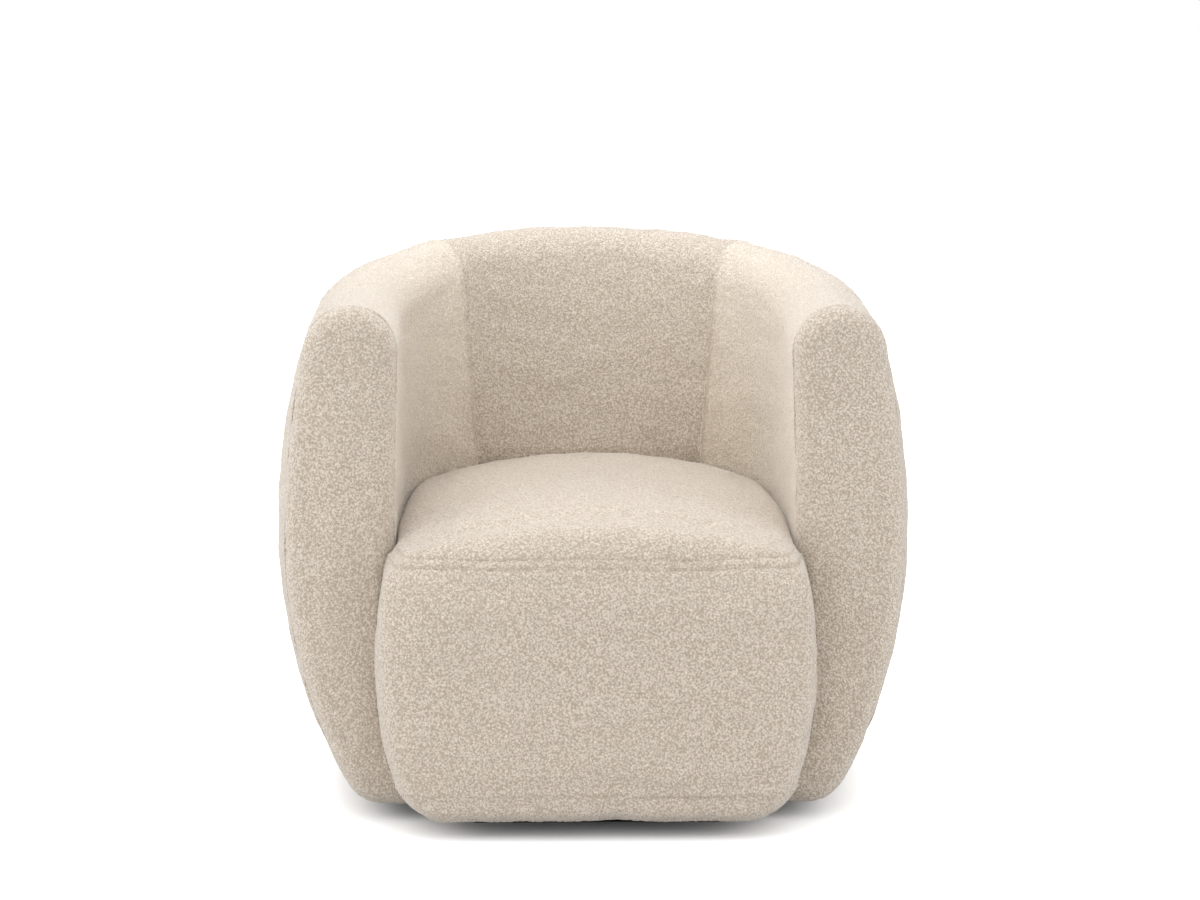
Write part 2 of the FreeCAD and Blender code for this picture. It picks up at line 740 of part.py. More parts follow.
def size_rule(drawing, expression, *rule):
    index = drawing.addConstraint(Sketcher.Constraint(*rule))
    drawing.setExpression("Constraints[%d]" % index, expression)


def circle(drawing, radius, x=None, y=None):
    centre = Vec(10 if x else 0, 10 if y else 0, 0)
    index = drawing.addGeometry(Part.Circle(centre, Vec(0, 0, 1), 5), False)
    size_rule(drawing, radius, "Radius", index, 5)
    if x is None:
        drawing.addConstraint(Sketcher.Constraint("Coincident", index, 3, -1, 1))
        return
    size_rule(drawing, x, "DistanceX", -1, 1, index, 3, 10)
    size_rule(drawing, y, "DistanceY", -1, 1, index, 3, 10)


def square(drawing, half):
    corners = [Vec(-10, -10, 0), Vec(10, -10, 0), Vec(10, 10, 0), Vec(-10, 10, 0)]
    sides = [Part.LineSegment(a, b) for a, b in zip(corners, corners[1:] + corners[:1])]
    first = drawing.addGeometry(sides, False)[0]
    for k in range(4):
        drawing.addConstraint(Sketcher.Constraint("Coincident", first + k, 2, first + (k + 1) % 4, 1))
        drawing.addConstraint(Sketcher.Constraint("Vertical" if k % 2 else "Horizontal", first + k))
    drawing.addConstraint(Sketcher.Constraint("Symmetric", first, 1, first + 1, 2, -1, 1))
    size_rule(drawing, "2 * " + half, "DistanceX", first, 1, first, 2, 20)
    size_rule(drawing, "2 * " + half, "DistanceY", first + 1, 1, first + 1, 2, 20)


def feature(owner, kind, drawing, **sizes):
    item = owner.newObject("PartDesign::" + kind, drawing.Name + "_" + kind.lower())
    item.Profile = drawing
    for name, expression in sizes.items():
        item.setExpression(name, expression)
    return item


def around(owner, original, count):
    """Repeats a feature around the swivel axis."""
    pattern = owner.newObject("PartDesign::PolarPattern", original.Name + "_pattern")
    pattern.Originals = [original]
    pattern.Axis = (origin_part(owner, "Z_Axis"), [""])
    pattern.Angle = 360
    pattern.setExpression("Occurrences", count)
    owner.Tip = pattern
    return pattern


def screw_holes(owner, name, top, depth):
    holes = sketch(owner, name, top)
    circle(holes, "dims.screw_radius", "dims.screw_offset", "dims.screw_offset")
    around(owner, feature(owner, "Pocket", holes, Length=depth), "4")


def add_base():
    disc = body("base_disc")
    plate = sketch(disc, "disc_outline", "dims.pad_thick")
    circle(plate, "dims.disc_radius")
    pad = feature(disc, "Pad", plate, Length="dims.disc_thick")
    screw_holes(disc, "disc_screw_holes", DISC_TOP, "dims.screw_length - dims.plate_thick")
    doc.recompute()
    rim = max(range(len(disc.Shape.Edges)), key=lambda k: disc.Shape.Edges[k].Length
              + disc.Shape.Edges[k].CenterOfMass.z)
    last = disc.Tip
    edge = disc.newObject("PartDesign::Chamfer", "disc_edge")
    edge.Base = (last, ["Edge%d" % (rim + 1)])
    edge.setExpression("Size", "dims.disc_edge")

    pads = []
    for k in range(round(dim("pad_count"))):
        turn = 2 * math.pi * (k + 0.5) / dim("pad_count")
        spot = Vec(dim("pad_circle") * math.cos(turn), dim("pad_circle") * math.sin(turn), 0)
        pads.append(Part.makeCylinder(dim("pad_radius"), dim("pad_thick"), spot))
    made("floor_pads", Part.makeCompound(pads))


def track(owner, name, level, groove_level):
    ring = sketch(owner, name + "_ring", level)
    circle(ring, "dims.track_circle + dims.track_half")
    circle(ring, "dims.track_circle - dims.track_half")
    feature(owner, "Pad", ring, Length="dims.track_height")
    groove = sketch(owner, name + "_groove", "0", "XZ_Plane")
    circle(groove, "dims.ball_radius + dims.ball_play", "dims.track_circle", groove_level)
    turned_groove = feature(owner, "Groove", groove)
    turned_groove.ReferenceAxis = (origin_part(owner, "Z_Axis"), [""])
    turned_groove.Angle = 360


def add_swivel():
    ball_level = "(" + DISC_TOP + " + dims.board_bottom) / 2"
    lower = body("swivel_lower_plate")
    outline_low = sketch(lower, "lower_outline", DISC_TOP)
    square(outline_low, "dims.plate_half")
    feature(lower, "Pad", outline_low, Length="dims.plate_thick")
    low_top = DISC_TOP + " + dims.plate_thick"
    track(lower, "lower_track", low_top, ball_level)
    bore = sketch(lower, "lower_bore", low_top)
    circle(bore, "dims.pin_radius")
    feature(lower, "Pocket", bore, Length="dims.plate_thick")
    screw_holes(lower, "lower_screw_holes", low_top, "dims.plate_thick")

    upper = body("swivel_upper_plate")
    high_bottom = "dims.board_bottom - dims.plate_thick"
    outline_high = sketch(upper, "upper_outline", high_bottom)
    square(outline_high, "dims.plate_half")
    feature(upper, "Pad", outline_high, Length="dims.plate_thick")
    track(upper, "upper_track", high_bottom + " - dims.track_height", ball_level)
    bore = sketch(upper, "upper_bore", "dims.board_bottom")
    circle(bore, "dims.pin_radius + dims.pin_clear")
    feature(upper, "Pocket", bore, Length="dims.plate_thick")
    screw_holes(upper, "upper_screw_holes", "dims.board_bottom", "dims.plate_thick")

    cage = body("ball_cage")
    ring = sketch(cage, "cage_ring", ball_level + " - dims.cage_thick / 2")
    circle(ring, "dims.track_circle + dims.cage_half")
    circle(ring, "dims.track_circle - dims.cage_half")
    feature(cage, "Pad", ring, Length="dims.cage_thick")
    pockets = sketch(cage, "cage_pocket", ball_level + " + dims.cage_thick / 2")
    circle(pockets, "dims.ball_radius + dims.ball_play / 3", "dims.track_circle", "0")
    around(cage, feature(cage, "Pocket", pockets, Length="dims.cage_thick"), "dims.ball_count")

    level = (dim("pad_thick") + dim("disc_thick") + dim("board_bottom")) / 2
    balls = []
    for k in range(round(dim("ball_count"))):
        turn = 2 * math.pi * k / dim("ball_count")
        spot = Vec(dim("track_circle") * math.cos(turn), dim("track_circle") * math.sin(turn), level)
        balls.append(Part.makeSphere(dim("ball_radius"), spot))
    made("bearing_balls", Part.makeCompound(balls))


def add_pin_and_screws():
    pin = doc.addObject("Part::Cylinder", "pin_shaft")
    pin.setExpression("Radius", "dims.pin_radius")
    pin.setExpression("Placement.Base.z", DISC_TOP)
    pin.setExpression("Height", "dims.board_bottom + dims.pin_play - dims.pad_thick - dims.disc_thick")
    flange = doc.addObject("Part::Cylinder", "pin_flange")
    flange.setExpression("Radius", "dims.flange_radius")
    flange.setExpression("Placement.Base.z", "dims.board_bottom + dims.pin_play")
    flange.setExpression("Height", "dims.flange_thick")
    whole = doc.addObject("Part::Fuse", "swivel_pin")
    whole.Base = pin
    whole.Tool = flange
    node(whole, "swivel_pin")

    top = dim("pad_thick") + dim("disc_thick") + dim("plate_thick")
    under = dim("board_bottom") - dim("plate_thick")
    shank = dim("screw_length")
    for label, shank_bottom, head_bottom in (("base_screws", top - shank, top),
                                             ("board_screws", under, under - dim("head_thick"))):
        shanks = screw_spots(dim("screw_radius"), shank_bottom, shank)
        heads = screw_spots(dim("head_radius"), head_bottom, dim("head_thick"))
        made(label, Part.makeCompound([a.fuse(b) for a, b in zip(shanks, heads)]))


add_base()
add_swivel()
add_pin_and_screws()
add_board()
add_seat_box()
add_springs()
add_shell_frame()
add_shell_upholstery()
add_seat()
doc.recompute()

os.makedirs("parts", exist_ok=True)
for item in doc.Objects:
    if "Invalid" in item.State or "Error" in item.State:
        raise RuntimeError(item.Label + " did not recompute")
for piece in NODES:
    shape = piece.Shape
    if shape.isNull() or not shape.isValid() or shape.Volume <= 0:
        raise RuntimeError(piece.Label + " has no valid shape")
    shape.exportStep(os.path.join("parts", piece.Label + ".step"))
    size = shape.BoundBox
    print("%-24s %2d %10.0f  %7.1f %7.1f %7.1f %7.1f %7.1f %7.1f" % (
        piece.Label, len(shape.Solids), shape.Volume, size.XMin, size.XMax, size.YMin, size.YMax,
        size.ZMin, size.ZMax))
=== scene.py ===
import json
import math
import bmesh
import bpy
import numpy as np
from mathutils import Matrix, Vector
from mathutils.bvhtree import BVHTree


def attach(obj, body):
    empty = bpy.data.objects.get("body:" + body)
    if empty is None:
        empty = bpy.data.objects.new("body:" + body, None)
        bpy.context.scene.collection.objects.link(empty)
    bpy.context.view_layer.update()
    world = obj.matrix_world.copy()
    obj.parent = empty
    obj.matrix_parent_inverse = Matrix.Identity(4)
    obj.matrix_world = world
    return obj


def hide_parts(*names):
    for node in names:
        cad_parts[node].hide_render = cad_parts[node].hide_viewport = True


# Swivel tub chair in cream boucle. Metres, +Z up, front towards -Y.

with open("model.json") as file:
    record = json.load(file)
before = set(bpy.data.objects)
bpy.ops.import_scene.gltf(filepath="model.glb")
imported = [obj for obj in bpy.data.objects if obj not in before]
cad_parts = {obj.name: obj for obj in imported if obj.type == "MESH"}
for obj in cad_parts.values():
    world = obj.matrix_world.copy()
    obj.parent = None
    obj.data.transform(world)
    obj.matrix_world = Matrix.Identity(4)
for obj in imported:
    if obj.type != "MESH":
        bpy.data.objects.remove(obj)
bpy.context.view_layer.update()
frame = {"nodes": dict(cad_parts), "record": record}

# Sizes of the upholstery, in millimetres, the same as in the part's source

HALF_WIDTH, HALF_DEPTH, ARM_HALF_WIDTH, OUTER_POWER = 414, 400, 379, 2.25
ARM_FRONT, FLOOR_GAP, WIDEST_LEVEL, BELLY_RADIUS = 300, 18, 338, 620
HEM_RADIUS, FRONT_ROUND, TAPER_POWER, SOLE_WIDTH = 55, 28, 1.5, 2
BACK_HEIGHT, ARM_HEIGHT, ROLL_RADIUS, LIP_RADIUS = 716, 641, 58, 56
CREST_SIDE, CREST_ARM, CREST_BACK, CREST_POWER = 309, 298, 322, 2.1
INNER_SIDE, INNER_ARM, INNER_BACK, INNER_POWER = 254, 248, 190, 3.2
LEAN_LEVEL, TUCK_LEVEL, BACK_PAD_EXTRA, SEAM_ANGLE = 408, 296, 16, 42
OUTER_DEPTH, INNER_DEPTH, HEM_FLANGE = 15.3, 17.3, 35
POD_FRONT, POD_HALF_WIDTH, POD_WIDEST_LEVEL, POD_SIDE_RADIUS = 400, 270, 218, 560
POD_HEM_RADIUS, POD_EDGE_RADIUS, POD_REAR, FIT_GAP = 65, 60, 230, 0.6
CROWN_RADIUS, CROWN_HEIGHT, CROWN_PEAK = 870, 413, 90
CROWN_FRONT_FALL, CROWN_REAR_FALL = 30, 17
NOSE_DEPTH, NOSE_TOP, NOSE_SIDE, NOSE_HEM = 45, 85, 32, 20
SEAT_SEAM, HEM_SEAM, SEAT_FOAM_BOTTOM = 339, 56, 306
TOE_LEVEL, TOE_REACH = 125, 30     # inner lower corner of the arm fronts

MM = 0.001
THREAD_STEP = 2.6      # edge length of the cloth meshes
COARSE = 4             # lining faces are this many times larger


# Profiles of the shell

def on_circle(centre, radius, angle):
    return centre[0] + radius * math.cos(angle), centre[1] + radius * math.sin(angle)


def heading(centre, point):
    return math.atan2(point[1] - centre[1], point[0] - centre[0])


def arc(centre, radius, first, last):
    turn = np.linspace(first, last, 65)
    return np.column_stack((centre[0] + radius * np.cos(turn), centre[1] + radius * np.sin(turn)))


def line(start, end):
    return np.array((start, end), float)


class Section:
    """A cutting plane of the shell: arms by y, back by angle from +Y."""

    def __init__(self, side, y=None, angle=None, inset=0.0):
        self.side, self.y, self.inset = side, y, inset
        self.angle = None if angle is None else math.radians(angle)
        self.shape_y = None if y is None else max(y, FRONT_ROUND - ARM_FRONT)
        self.outer = self.plan(ARM_HALF_WIDTH, HALF_WIDTH, HALF_DEPTH, OUTER_POWER)
        self.crest = self.plan(CREST_ARM, CREST_SIDE, CREST_BACK, CREST_POWER)
        self.inner = self.plan(INNER_ARM, INNER_SIDE, INNER_BACK, INNER_POWER)
        depth = self.shape_y if angle is None else self.crest * math.cos(self.angle)
        rise = (depth + ARM_FRONT) / (ARM_FRONT + CREST_BACK)
        self.rim = ARM_HEIGHT + (BACK_HEIGHT - ARM_HEIGHT) * rise ** 2
        self.back_share = 0.0 if angle is None else math.cos(self.angle) ** 2

    def plan(self, front, side, back, power):
        if self.angle is None:
            return side - (side - front) * (abs(self.shape_y) / ARM_FRONT) ** TAPER_POWER
        across = (abs(math.sin(self.angle)) / side) ** power
        along = (math.cos(self.angle) / back) ** power
        return (across + along) ** (-1 / power)

    def place(self, profile):
        """Puts points of radius and height into this plane."""
        radius, height = profile[:, 0], profile[:, 1]
        if self.angle is None:
            x, y = self.side * radius, np.full_like(radius, self.y)
        else:
            x, y = self.side * radius * math.sin(self.angle), radius * math.cos(self.angle)
        return np.column_stack((x, y, height))

    def spans(self, outside, inside):
        outside += self.inset
        inside += self.inset
        run = self.outer - self.crest
        climb = self.rim - ROLL_RADIUS - WIDEST_LEVEL
        flank = (run ** 2 + climb ** 2 - ROLL_RADIUS ** 2) / (2 * (run - ROLL_RADIUS))
        hem, lip, belly = HEM_RADIUS - outside, LIP_RADIUS - inside, BELLY_RADIUS - outside
        belly_centre = (self.outer - BELLY_RADIUS, WIDEST_LEVEL)
        flank_centre = (self.outer - flank, WIDEST_LEVEL)
        roll_centre = (self.crest, self.rim - ROLL_RADIUS)
        lip_centre = (self.crest, self.rim - outside - lip)
        hem_level = FLOOR_GAP + HEM_RADIUS
        reach = math.sqrt((belly - hem) ** 2 - (WIDEST_LEVEL - hem_level) ** 2)
        hem_centre = (belly_centre[0] + reach, hem_level)
        foot = (self.inner + inside, TUCK_LEVEL)
        knee = (self.inner + inside, LEAN_LEVEL)
        far = math.hypot(lip_centre[0] - knee[0], lip_centre[1] - knee[1])
        lean = math.acos(lip / far) - heading(knee, lip_centre)
        touch = on_circle(lip_centre, lip, math.pi - lean)
        sole_reach = max(0.0, foot[0] + SOLE_WIDTH - hem_centre[0])
        hem_end = heading(belly_centre, hem_centre)
        roll_start = heading(flank_centre, roll_centre)
        sole = arc(hem_centre, hem, -math.acos(sole_reach / hem), hem_end)
        return {
            "flange": line((hem_centre[0] - HEM_FLANGE, hem_level - hem),
                           (hem_centre[0], hem_level - hem)),
            "hem": arc(hem_centre, hem, -math.pi / 2, hem_end),
            "sole": sole,
            "lower": arc(belly_centre, belly, hem_end, 0.0),
            "upper": arc(flank_centre, flank - outside, 0.0, roll_start),
            "roll": arc(roll_centre, ROLL_RADIUS - outside, roll_start, math.pi / 2),
            "lip": arc(lip_centre, lip, math.pi / 2, math.pi - lean),
            "lean": line(touch, knee),
            "wall": line(knee, foot),
            "inner_sole": np.array((knee, (knee[0], TOE_LEVEL),
                                    (knee[0] - TOE_REACH, sole[0, 1]))),
        }


def even(count):
    return np.linspace(0.0, 1.0, count)


def closer_at_ends(count):
    """Shares of a length whose steps shrink towards both ends, where the seams are."""
    place = np.arange(count - 1)
    from_end = np.minimum(place, place[::-1]) / 10.0
    steps = 0.3 + 0.7 * np.clip(from_end, 0.0, 1.0) ** 1.5
    return np.concatenate(([0.0], np.cumsum(steps))) / steps.sum()


def along(points, shares):
    """Points at given shares of a polyline's length."""
    steps = np.concatenate(([0.0], np.cumsum(np.linalg.norm(np.diff(points, axis=0), axis=1))))
    marks = shares * steps[-1]
    return np.column_stack([np.interp(marks, steps, column) for column in points.T])


def length_of(points):
    return float(np.linalg.norm(np.diff(points, axis=0), axis=1).sum())


LEFT, RIGHT = -1, 1
OUTSIDE = ("flange", "hem", "lower", "upper")
INSIDE = ("roll", "lip", "lean", "wall")


def arm_places(side, shares):
    """Sections at shares of the crest line, from the arm's front to the back seam."""
    ys = np.linspace(FRONT_ROUND - ARM_FRONT, 0, 40)
    angles = np.linspace(90, SEAM_ANGLE, 60)
    marks = np.concatenate((ys, 90 - angles[1:] + 1000))
    rows = [Section(side, y=y) for y in ys] + [Section(side, angle=a) for a in angles[1:]]
    crest = np.array([row.place(np.array([[row.crest, 0.0]]))[0] for row in rows])
    run = np.concatenate(([0.0], np.cumsum(np.linalg.norm(np.diff(crest, axis=0), axis=1))))
    marks = np.where(marks >= 1000, marks - 1000, marks)
    wanted = np.interp(shares * run[-1], run, marks)
    return [Section(side, y=m) if m <= 0 else Section(side, angle=90 - m) for m in wanted]


def back_places(shares):
    return [Section(RIGHT, angle=SEAM_ANGLE * (2 * share - 1)) for share in shares]


def grid_over(rows, names, outside, inside, shares, extra=0.0):
    """A grid of points over part of the shell at a depth under its surface."""
    grid = []
    for row in rows:
        spans = row.spans(outside, inside + extra * row.back_share)
        profile = np.concatenate([spans[name] for name in names])
        grid.append(row.place(along(profile, shares)))
    return np.array(grid)


# Softness: slow swells, dips at seams and small puckers beside them

def drift(points, size, reach, seed):
    """A smooth random height over space, in the same unit as size."""
    rng = np.random.default_rng(seed)
    waves = rng.normal(size=(10, 3)) * (2 * math.pi / reach)
    phases = rng.uniform(0, 2 * math.pi, 10)
    return size * np.sin(points @ waves.T + phases).sum(axis=-1) / math.sqrt(10)


def swell(points):
    """The broad unevenness of the padding, the same over neighbouring pieces."""
    return drift(points, 0.9, 190.0, 3) + drift(points, 0.5, 90.0, 4)


def dip(distance, depth, width):
    return depth * np.exp(-(distance / width) ** 2)


SEAM_WIDTH, PUCKER = 2.0, 0.5
PANEL_SEAM, EDGE_SEAM = 3.4, 0.12  # depths: between panels, and round the arm fronts and rim


def seam_dip(points, distance, depth, seed):
    """How far the cloth sinks near a sewn seam."""
    ripple = drift(points, PUCKER, 26.0, seed)
    return dip(distance, depth, SEAM_WIDTH) + dip(distance, 0.35 * depth, 12.0) * (1.0 + ripple)


def grid_normals(grid):
    along = np.gradient(grid, axis=0)
    across = np.gradient(grid, axis=1)
    normal = np.cross(along, across)
    size = np.linalg.norm(normal, axis=2, keepdims=True)
    return normal / np.maximum(size, 1e-9)


def to_edges(grid):
    """Distance of each grid point from the four borders: first, last, low, high."""
    along = np.linalg.norm(np.diff(grid, axis=0), axis=2).cumsum(axis=0)
    along = np.concatenate((np.zeros((1, grid.shape[1])), along))
    across = np.linalg.norm(np.diff(grid, axis=1), axis=2).cumsum(axis=1)
    across = np.concatenate((np.zeros((grid.shape[0], 1)), across), axis=1)
    return along, along[-1] - along, across, across[:, -1:] - across


def loft_near(distance, depth):
    """Loops lie down along a sewn border, more so in a deep seam."""
    lowest = max(0.0, 0.8 - 0.3 * depth)
    return lowest + (1 - lowest) * np.clip(distance / 3.5, 0.0, 1.0)


# Meshes

def mesh_from(name, points, faces, loft=None, edges=None):
    """A mesh from points in millimetres and arrays of faces; loft is the height of its loops."""
    mesh = bpy.data.meshes.new(name)
    mesh.vertices.add(len(points))
    mesh.vertices.foreach_set("co", (np.asarray(points) * MM).ravel())
    if edges is not None:
        mesh.edges.add(len(edges))
        mesh.edges.foreach_set("vertices", edges.ravel())
    if faces:
        corners = np.concatenate([np.asarray(group).ravel() for group in faces])
        sizes = np.concatenate([np.full(len(group), np.shape(group)[1]) for group in faces])
        mesh.loops.add(len(corners))
        mesh.loops.foreach_set("vertex_index", corners)
        mesh.polygons.add(len(sizes))
        mesh.polygons.foreach_set("loop_start", np.cumsum(sizes) - sizes)
        mesh.polygons.foreach_set("loop_total", sizes)
    mesh.update(calc_edges=True)
    mesh.validate()
    piece = bpy.data.objects.new(name, mesh)
    bpy.context.scene.collection.objects.link(piece)
    if loft is not None:
        paint(piece, "loft", loft)
    return piece


def paint(piece, name, values):
    """Keeps one number for each point of a mesh."""
    layer = piece.data.attributes.new(name, "FLOAT", "POINT")
    layer.data.foreach_set("value", np.asarray(values, float))


def quads(index, flip=False):
    a, b, c, d = index[:-1, :-1], index[1:, :-1], index[1:, 1:], index[:-1, 1:]
    order = (a, d, c, b) if flip else (a, b, c, d)
    return np.stack([part.ravel() for part in order], axis=1)


def pad_mesh(name, face, lining, loft, flip):
    """A closed pad: a fine face, a coarse lining, and side walls between their borders."""
    rows, columns = face.shape[:2]
    fine = np.arange(rows * columns).reshape(rows, columns)
    small = np.arange(lining.shape[0] * lining.shape[1]).reshape(lining.shape[:2]) + fine.size
    walls = []
    for edge, back, turn in ((fine[0], small[0], True), (fine[-1], small[-1], False),
                             (fine[:, 0], small[:, 0], False), (fine[:, -1], small[:, -1], True)):
        for k in range(len(back) - 1):
            ring = list(edge[COARSE * k:COARSE * (k + 1) + 1]) + [back[k + 1], back[k]]
            walls.append(ring if turn != flip else ring[::-1])
    points = np.concatenate((face.reshape(-1, 3), lining.reshape(-1, 3)))
    heights = np.concatenate((loft.ravel(), np.zeros(small.size)))
    faces = [quads(fine, flip), quads(small, not flip), np.array(walls)]
    return mesh_from(name, points, faces, heights)


ARM_RUN, BACK_RUN = 620, 590       # lengths round the shell that set the mesh's density
RIM_CLEAR, RIM_FADE = 110.0, 70.0  # seams are shallow this far over the rim, then deepen
# Painted sheen on the inner arms: it begins this far below the rim and reaches full strength over this
# length
PAINTED_SHEEN_START, PAINTED_SHEEN_FADE = 25.0, 80.0


def shell_panel(name, rows_at, names, seams, flip, seed):
    """One panel of the shell as a padded form, its face pulled in along its seams."""
    on_arm = "arm" in name
    spans = Section(RIGHT, angle=60 if on_arm else 0).spans(0.0, 0.0)
    tall = sum(length_of(spans[part]) for part in names)
    wide = ARM_RUN if on_arm else BACK_RUN
    down = closer_at_ends(COARSE * round(tall / THREAD_STEP / COARSE) + 1)
    round_it = closer_at_ends(COARSE * round(wide / THREAD_STEP / COARSE) + 1)
    rows = rows_at(round_it)
    face = grid_over(rows, names, 0.0, 0.0, down)
    edges = to_edges(face)
    sink = -swell(face)
    loft = np.ones(face.shape[:2])
    below_rim = 0.3
    if names == INSIDE:
        below_rim = np.clip((edges[2] - RIM_CLEAR) / RIM_FADE, 0.0, 1.0)
    for which, depth in seams.items():
        depth_here = depth * (0.3 + 0.7 * below_rim)
        sink = sink + seam_dip(face, edges[which], depth_here, seed + which)
        loft = np.minimum(loft, loft_near(edges[which], depth))
    outward = grid_normals(face) * (-1 if flip else 1)
    lining = grid_over(rows[::COARSE], names, OUTER_DEPTH, INNER_DEPTH, down[::COARSE],
                       BACK_PAD_EXTRA)
    face = face + refined(settled_panel(face[::COARSE, ::COARSE], lining, flip), face.shape[:2])
    face = face - outward * sink[:, :, None]
    piece = pad_mesh(name, face, lining, loft, flip)
    # Marks the inner arm faces below the rim for lighter boucle colours: painted sheen
    if names == INSIDE and on_arm:
        painted_sheen = np.clip((edges[2] - PAINTED_SHEEN_START) / PAINTED_SHEEN_FADE, 0.0, 1.0)
        paint(piece, "painted_sheen", np.concatenate((painted_sheen.ravel(), np.zeros(lining.size // 3))))
    return piece


# Cloth that swells over its filling and settles between the seams

SETTLING = 20          # frames of simulation
PRESSURE, PANEL_SLACK, SEAT_SLACK = 4.0, 0.012, 0.01
PANEL_CAP, SEAT_CAP = 7.0, 9.0     # furthest that a point may move
PANEL_SHARE, SEAT_SHARE = 0.3, 0.5 # share of the movement that is kept


def settle(piece, pinned, slack, cap):
    """Movement of each point of a closed cloth form under inner pressure, in millimetres."""
    start = coords(piece.data)
    group = piece.vertex_groups.new(name="sewn")
    group.add([int(k) for k in pinned], 1.0, "REPLACE")
    modifier = piece.modifiers.new("filling", "CLOTH")
    fabric = modifier.settings
    fabric.quality = 4
    fabric.use_pressure, fabric.uniform_pressure_force = True, PRESSURE
    fabric.vertex_group_mass = "sewn"
    fabric.shrink_min = -slack
    fabric.effector_weights.gravity = 0.0
    modifier.point_cache.frame_start, modifier.point_cache.frame_end = 1, SETTLING
    for frame_number in range(1, SETTLING + 1):
        bpy.context.scene.frame_set(frame_number)
    bake(piece)
    bpy.context.scene.frame_set(1)
    moved = coords(piece.data) - start
    size = np.linalg.norm(moved, axis=1, keepdims=True)
    return moved * np.minimum(1.0, cap / np.maximum(size, 1e-9))


def settled_panel(face, lining, flip):
    """Movement of a panel's face between its sewn borders, on a coarse form."""
    rows, columns = face.shape[:2]
    ids = np.arange(rows * columns).reshape(rows, columns)
    below = ids + ids.size
    walls = [quads(np.stack((a, b)), turn != flip) for a, b, turn in (
        (ids[0], below[0], True), (ids[-1], below[-1], False),
        (ids[:, 0], below[:, 0], False), (ids[:, -1], below[:, -1], True))]
    points = np.concatenate((face.reshape(-1, 3), lining.reshape(-1, 3)))
    form = mesh_from("panel_form", points, [quads(ids, flip), quads(below, not flip)] + walls)
    set_outward(form)
    border = np.concatenate((ids[0], ids[-1], ids[:, 0], ids[:, -1]))
    pinned = np.unique(np.concatenate((border, below.ravel())))
    moved = settle(form, pinned, PANEL_SLACK, PANEL_CAP)[:ids.size].reshape(face.shape)
    bpy.data.objects.remove(form)
    return moved * PANEL_SHARE


def refined(coarse, shape):
    """A coarse grid of movements spread smoothly over a finer grid."""
    for axis, count in enumerate(shape):
        marks = np.linspace(0, coarse.shape[axis] - 1, count)
        low = np.minimum(marks.astype(int), coarse.shape[axis] - 2)
        part = marks - low
        part = (part * part * (3 - 2 * part)).reshape([-1 if k == axis else 1 for k in range(3)])
        coarse = np.take(coarse, low, axis) * (1 - part) + np.take(coarse, low + 1, axis) * part
    return coarse


NOSE_TURNS = np.concatenate(([0, 0.02, 0.045, 0.075, 0.11], np.linspace(0.16, 1, 15)))
HALF_RING = COARSE * 62            # steps from the sole over the rim, and down again
SOLE_STEPS = 40
NOSE_CROWN = 3.0                   # how far the flat face of an arm front swells


def nose_rings(side):
    """Rings round the front end of an arm, closing in to its flat face."""
    found = []
    for turn in np.radians(90 - 90 * NOSE_TURNS):
        y = FRONT_ROUND - ARM_FRONT - FRONT_ROUND * math.cos(turn)
        row = Section(side, y=y, inset=FRONT_ROUND * (1 - math.sin(turn)))
        spans = row.spans(0.0, 0.0)
        outer = np.concatenate([spans[part] for part in ("sole", "lower", "upper", "roll")])
        inner = np.concatenate([spans[part] for part in ("lip", "lean", "inner_sole")])
        outer, inner = along(outer, even(HALF_RING + 1)), along(inner, even(HALF_RING + 1))
        sole = along(line(inner[-1], outer[0]), even(SOLE_STEPS + 1))
        found.append(row.place(np.concatenate((outer, inner[1:], sole[1:-1]))))
    return np.array(found)


def nose_cap(last):
    """Rows of points across the flat face, from the sole up to the rim."""
    left, right = last[:HALF_RING + 1], last[HALF_RING:2 * HALF_RING + 1][::-1]
    share = np.linspace(0, 1, SOLE_STEPS + 1)
    cap = left[:, None, :] * (1 - share[None, :, None]) + right[:, None, :] * share[None, :, None]
    upward = np.sin(np.pi * np.clip(np.linspace(0, 1, HALF_RING + 1), 0, 1))[:, None] ** 0.5
    cap[:, :, 1] -= NOSE_CROWN * (np.sin(np.pi * share)[None, :] * upward)
    return cap


def nose_cap_ids(ring_ids):
    """Point numbers of the face's rows; its border is the last ring."""
    half = HALF_RING
    ids = np.full((half + 1, SOLE_STEPS + 1), -1)
    ids[:, 0] = ring_ids[-1, :half + 1]
    ids[:, -1] = ring_ids[-1, half:2 * half + 1][::-1]
    ids[0, 1:-1] = ring_ids[-1, 2 * half + 1:][::-1]
    inside = ids < 0
    inside[-1] = False
    ids[-1] = ring_ids[-1, half]
    ids[inside] = ring_ids.size + np.arange(inside.sum())
    return ids, inside


def nose_faces(ring_ids, cap_ids, flip):
    """Faces of the rings, the flat face and the back of an arm front."""
    half, around = HALF_RING, ring_ids.shape[1]
    closed_ids = np.concatenate((ring_ids, ring_ids[:, :1]), axis=1)
    rear = ring_ids[0]
    back = [[rear[k], rear[k + 1], rear[2 * half - k - 1], rear[2 * half - k]]
            for k in range(half - 1)]
    tip = [[rear[half - 1], rear[half], rear[half + 1]]]
    foot = [[rear[0]] + [rear[k] for k in range(2 * half, around)]]
    fan = [[cap_ids[-2, k], cap_ids[-2, k + 1], cap_ids[-1, 0]] for k in range(SOLE_STEPS)]
    faces = [quads(closed_ids, not flip), quads(cap_ids[:-1], not flip)]
    for group in (fan, back, tip, foot):
        group = np.array(group)
        faces.append(group[:, ::-1] if flip else group)
    return faces


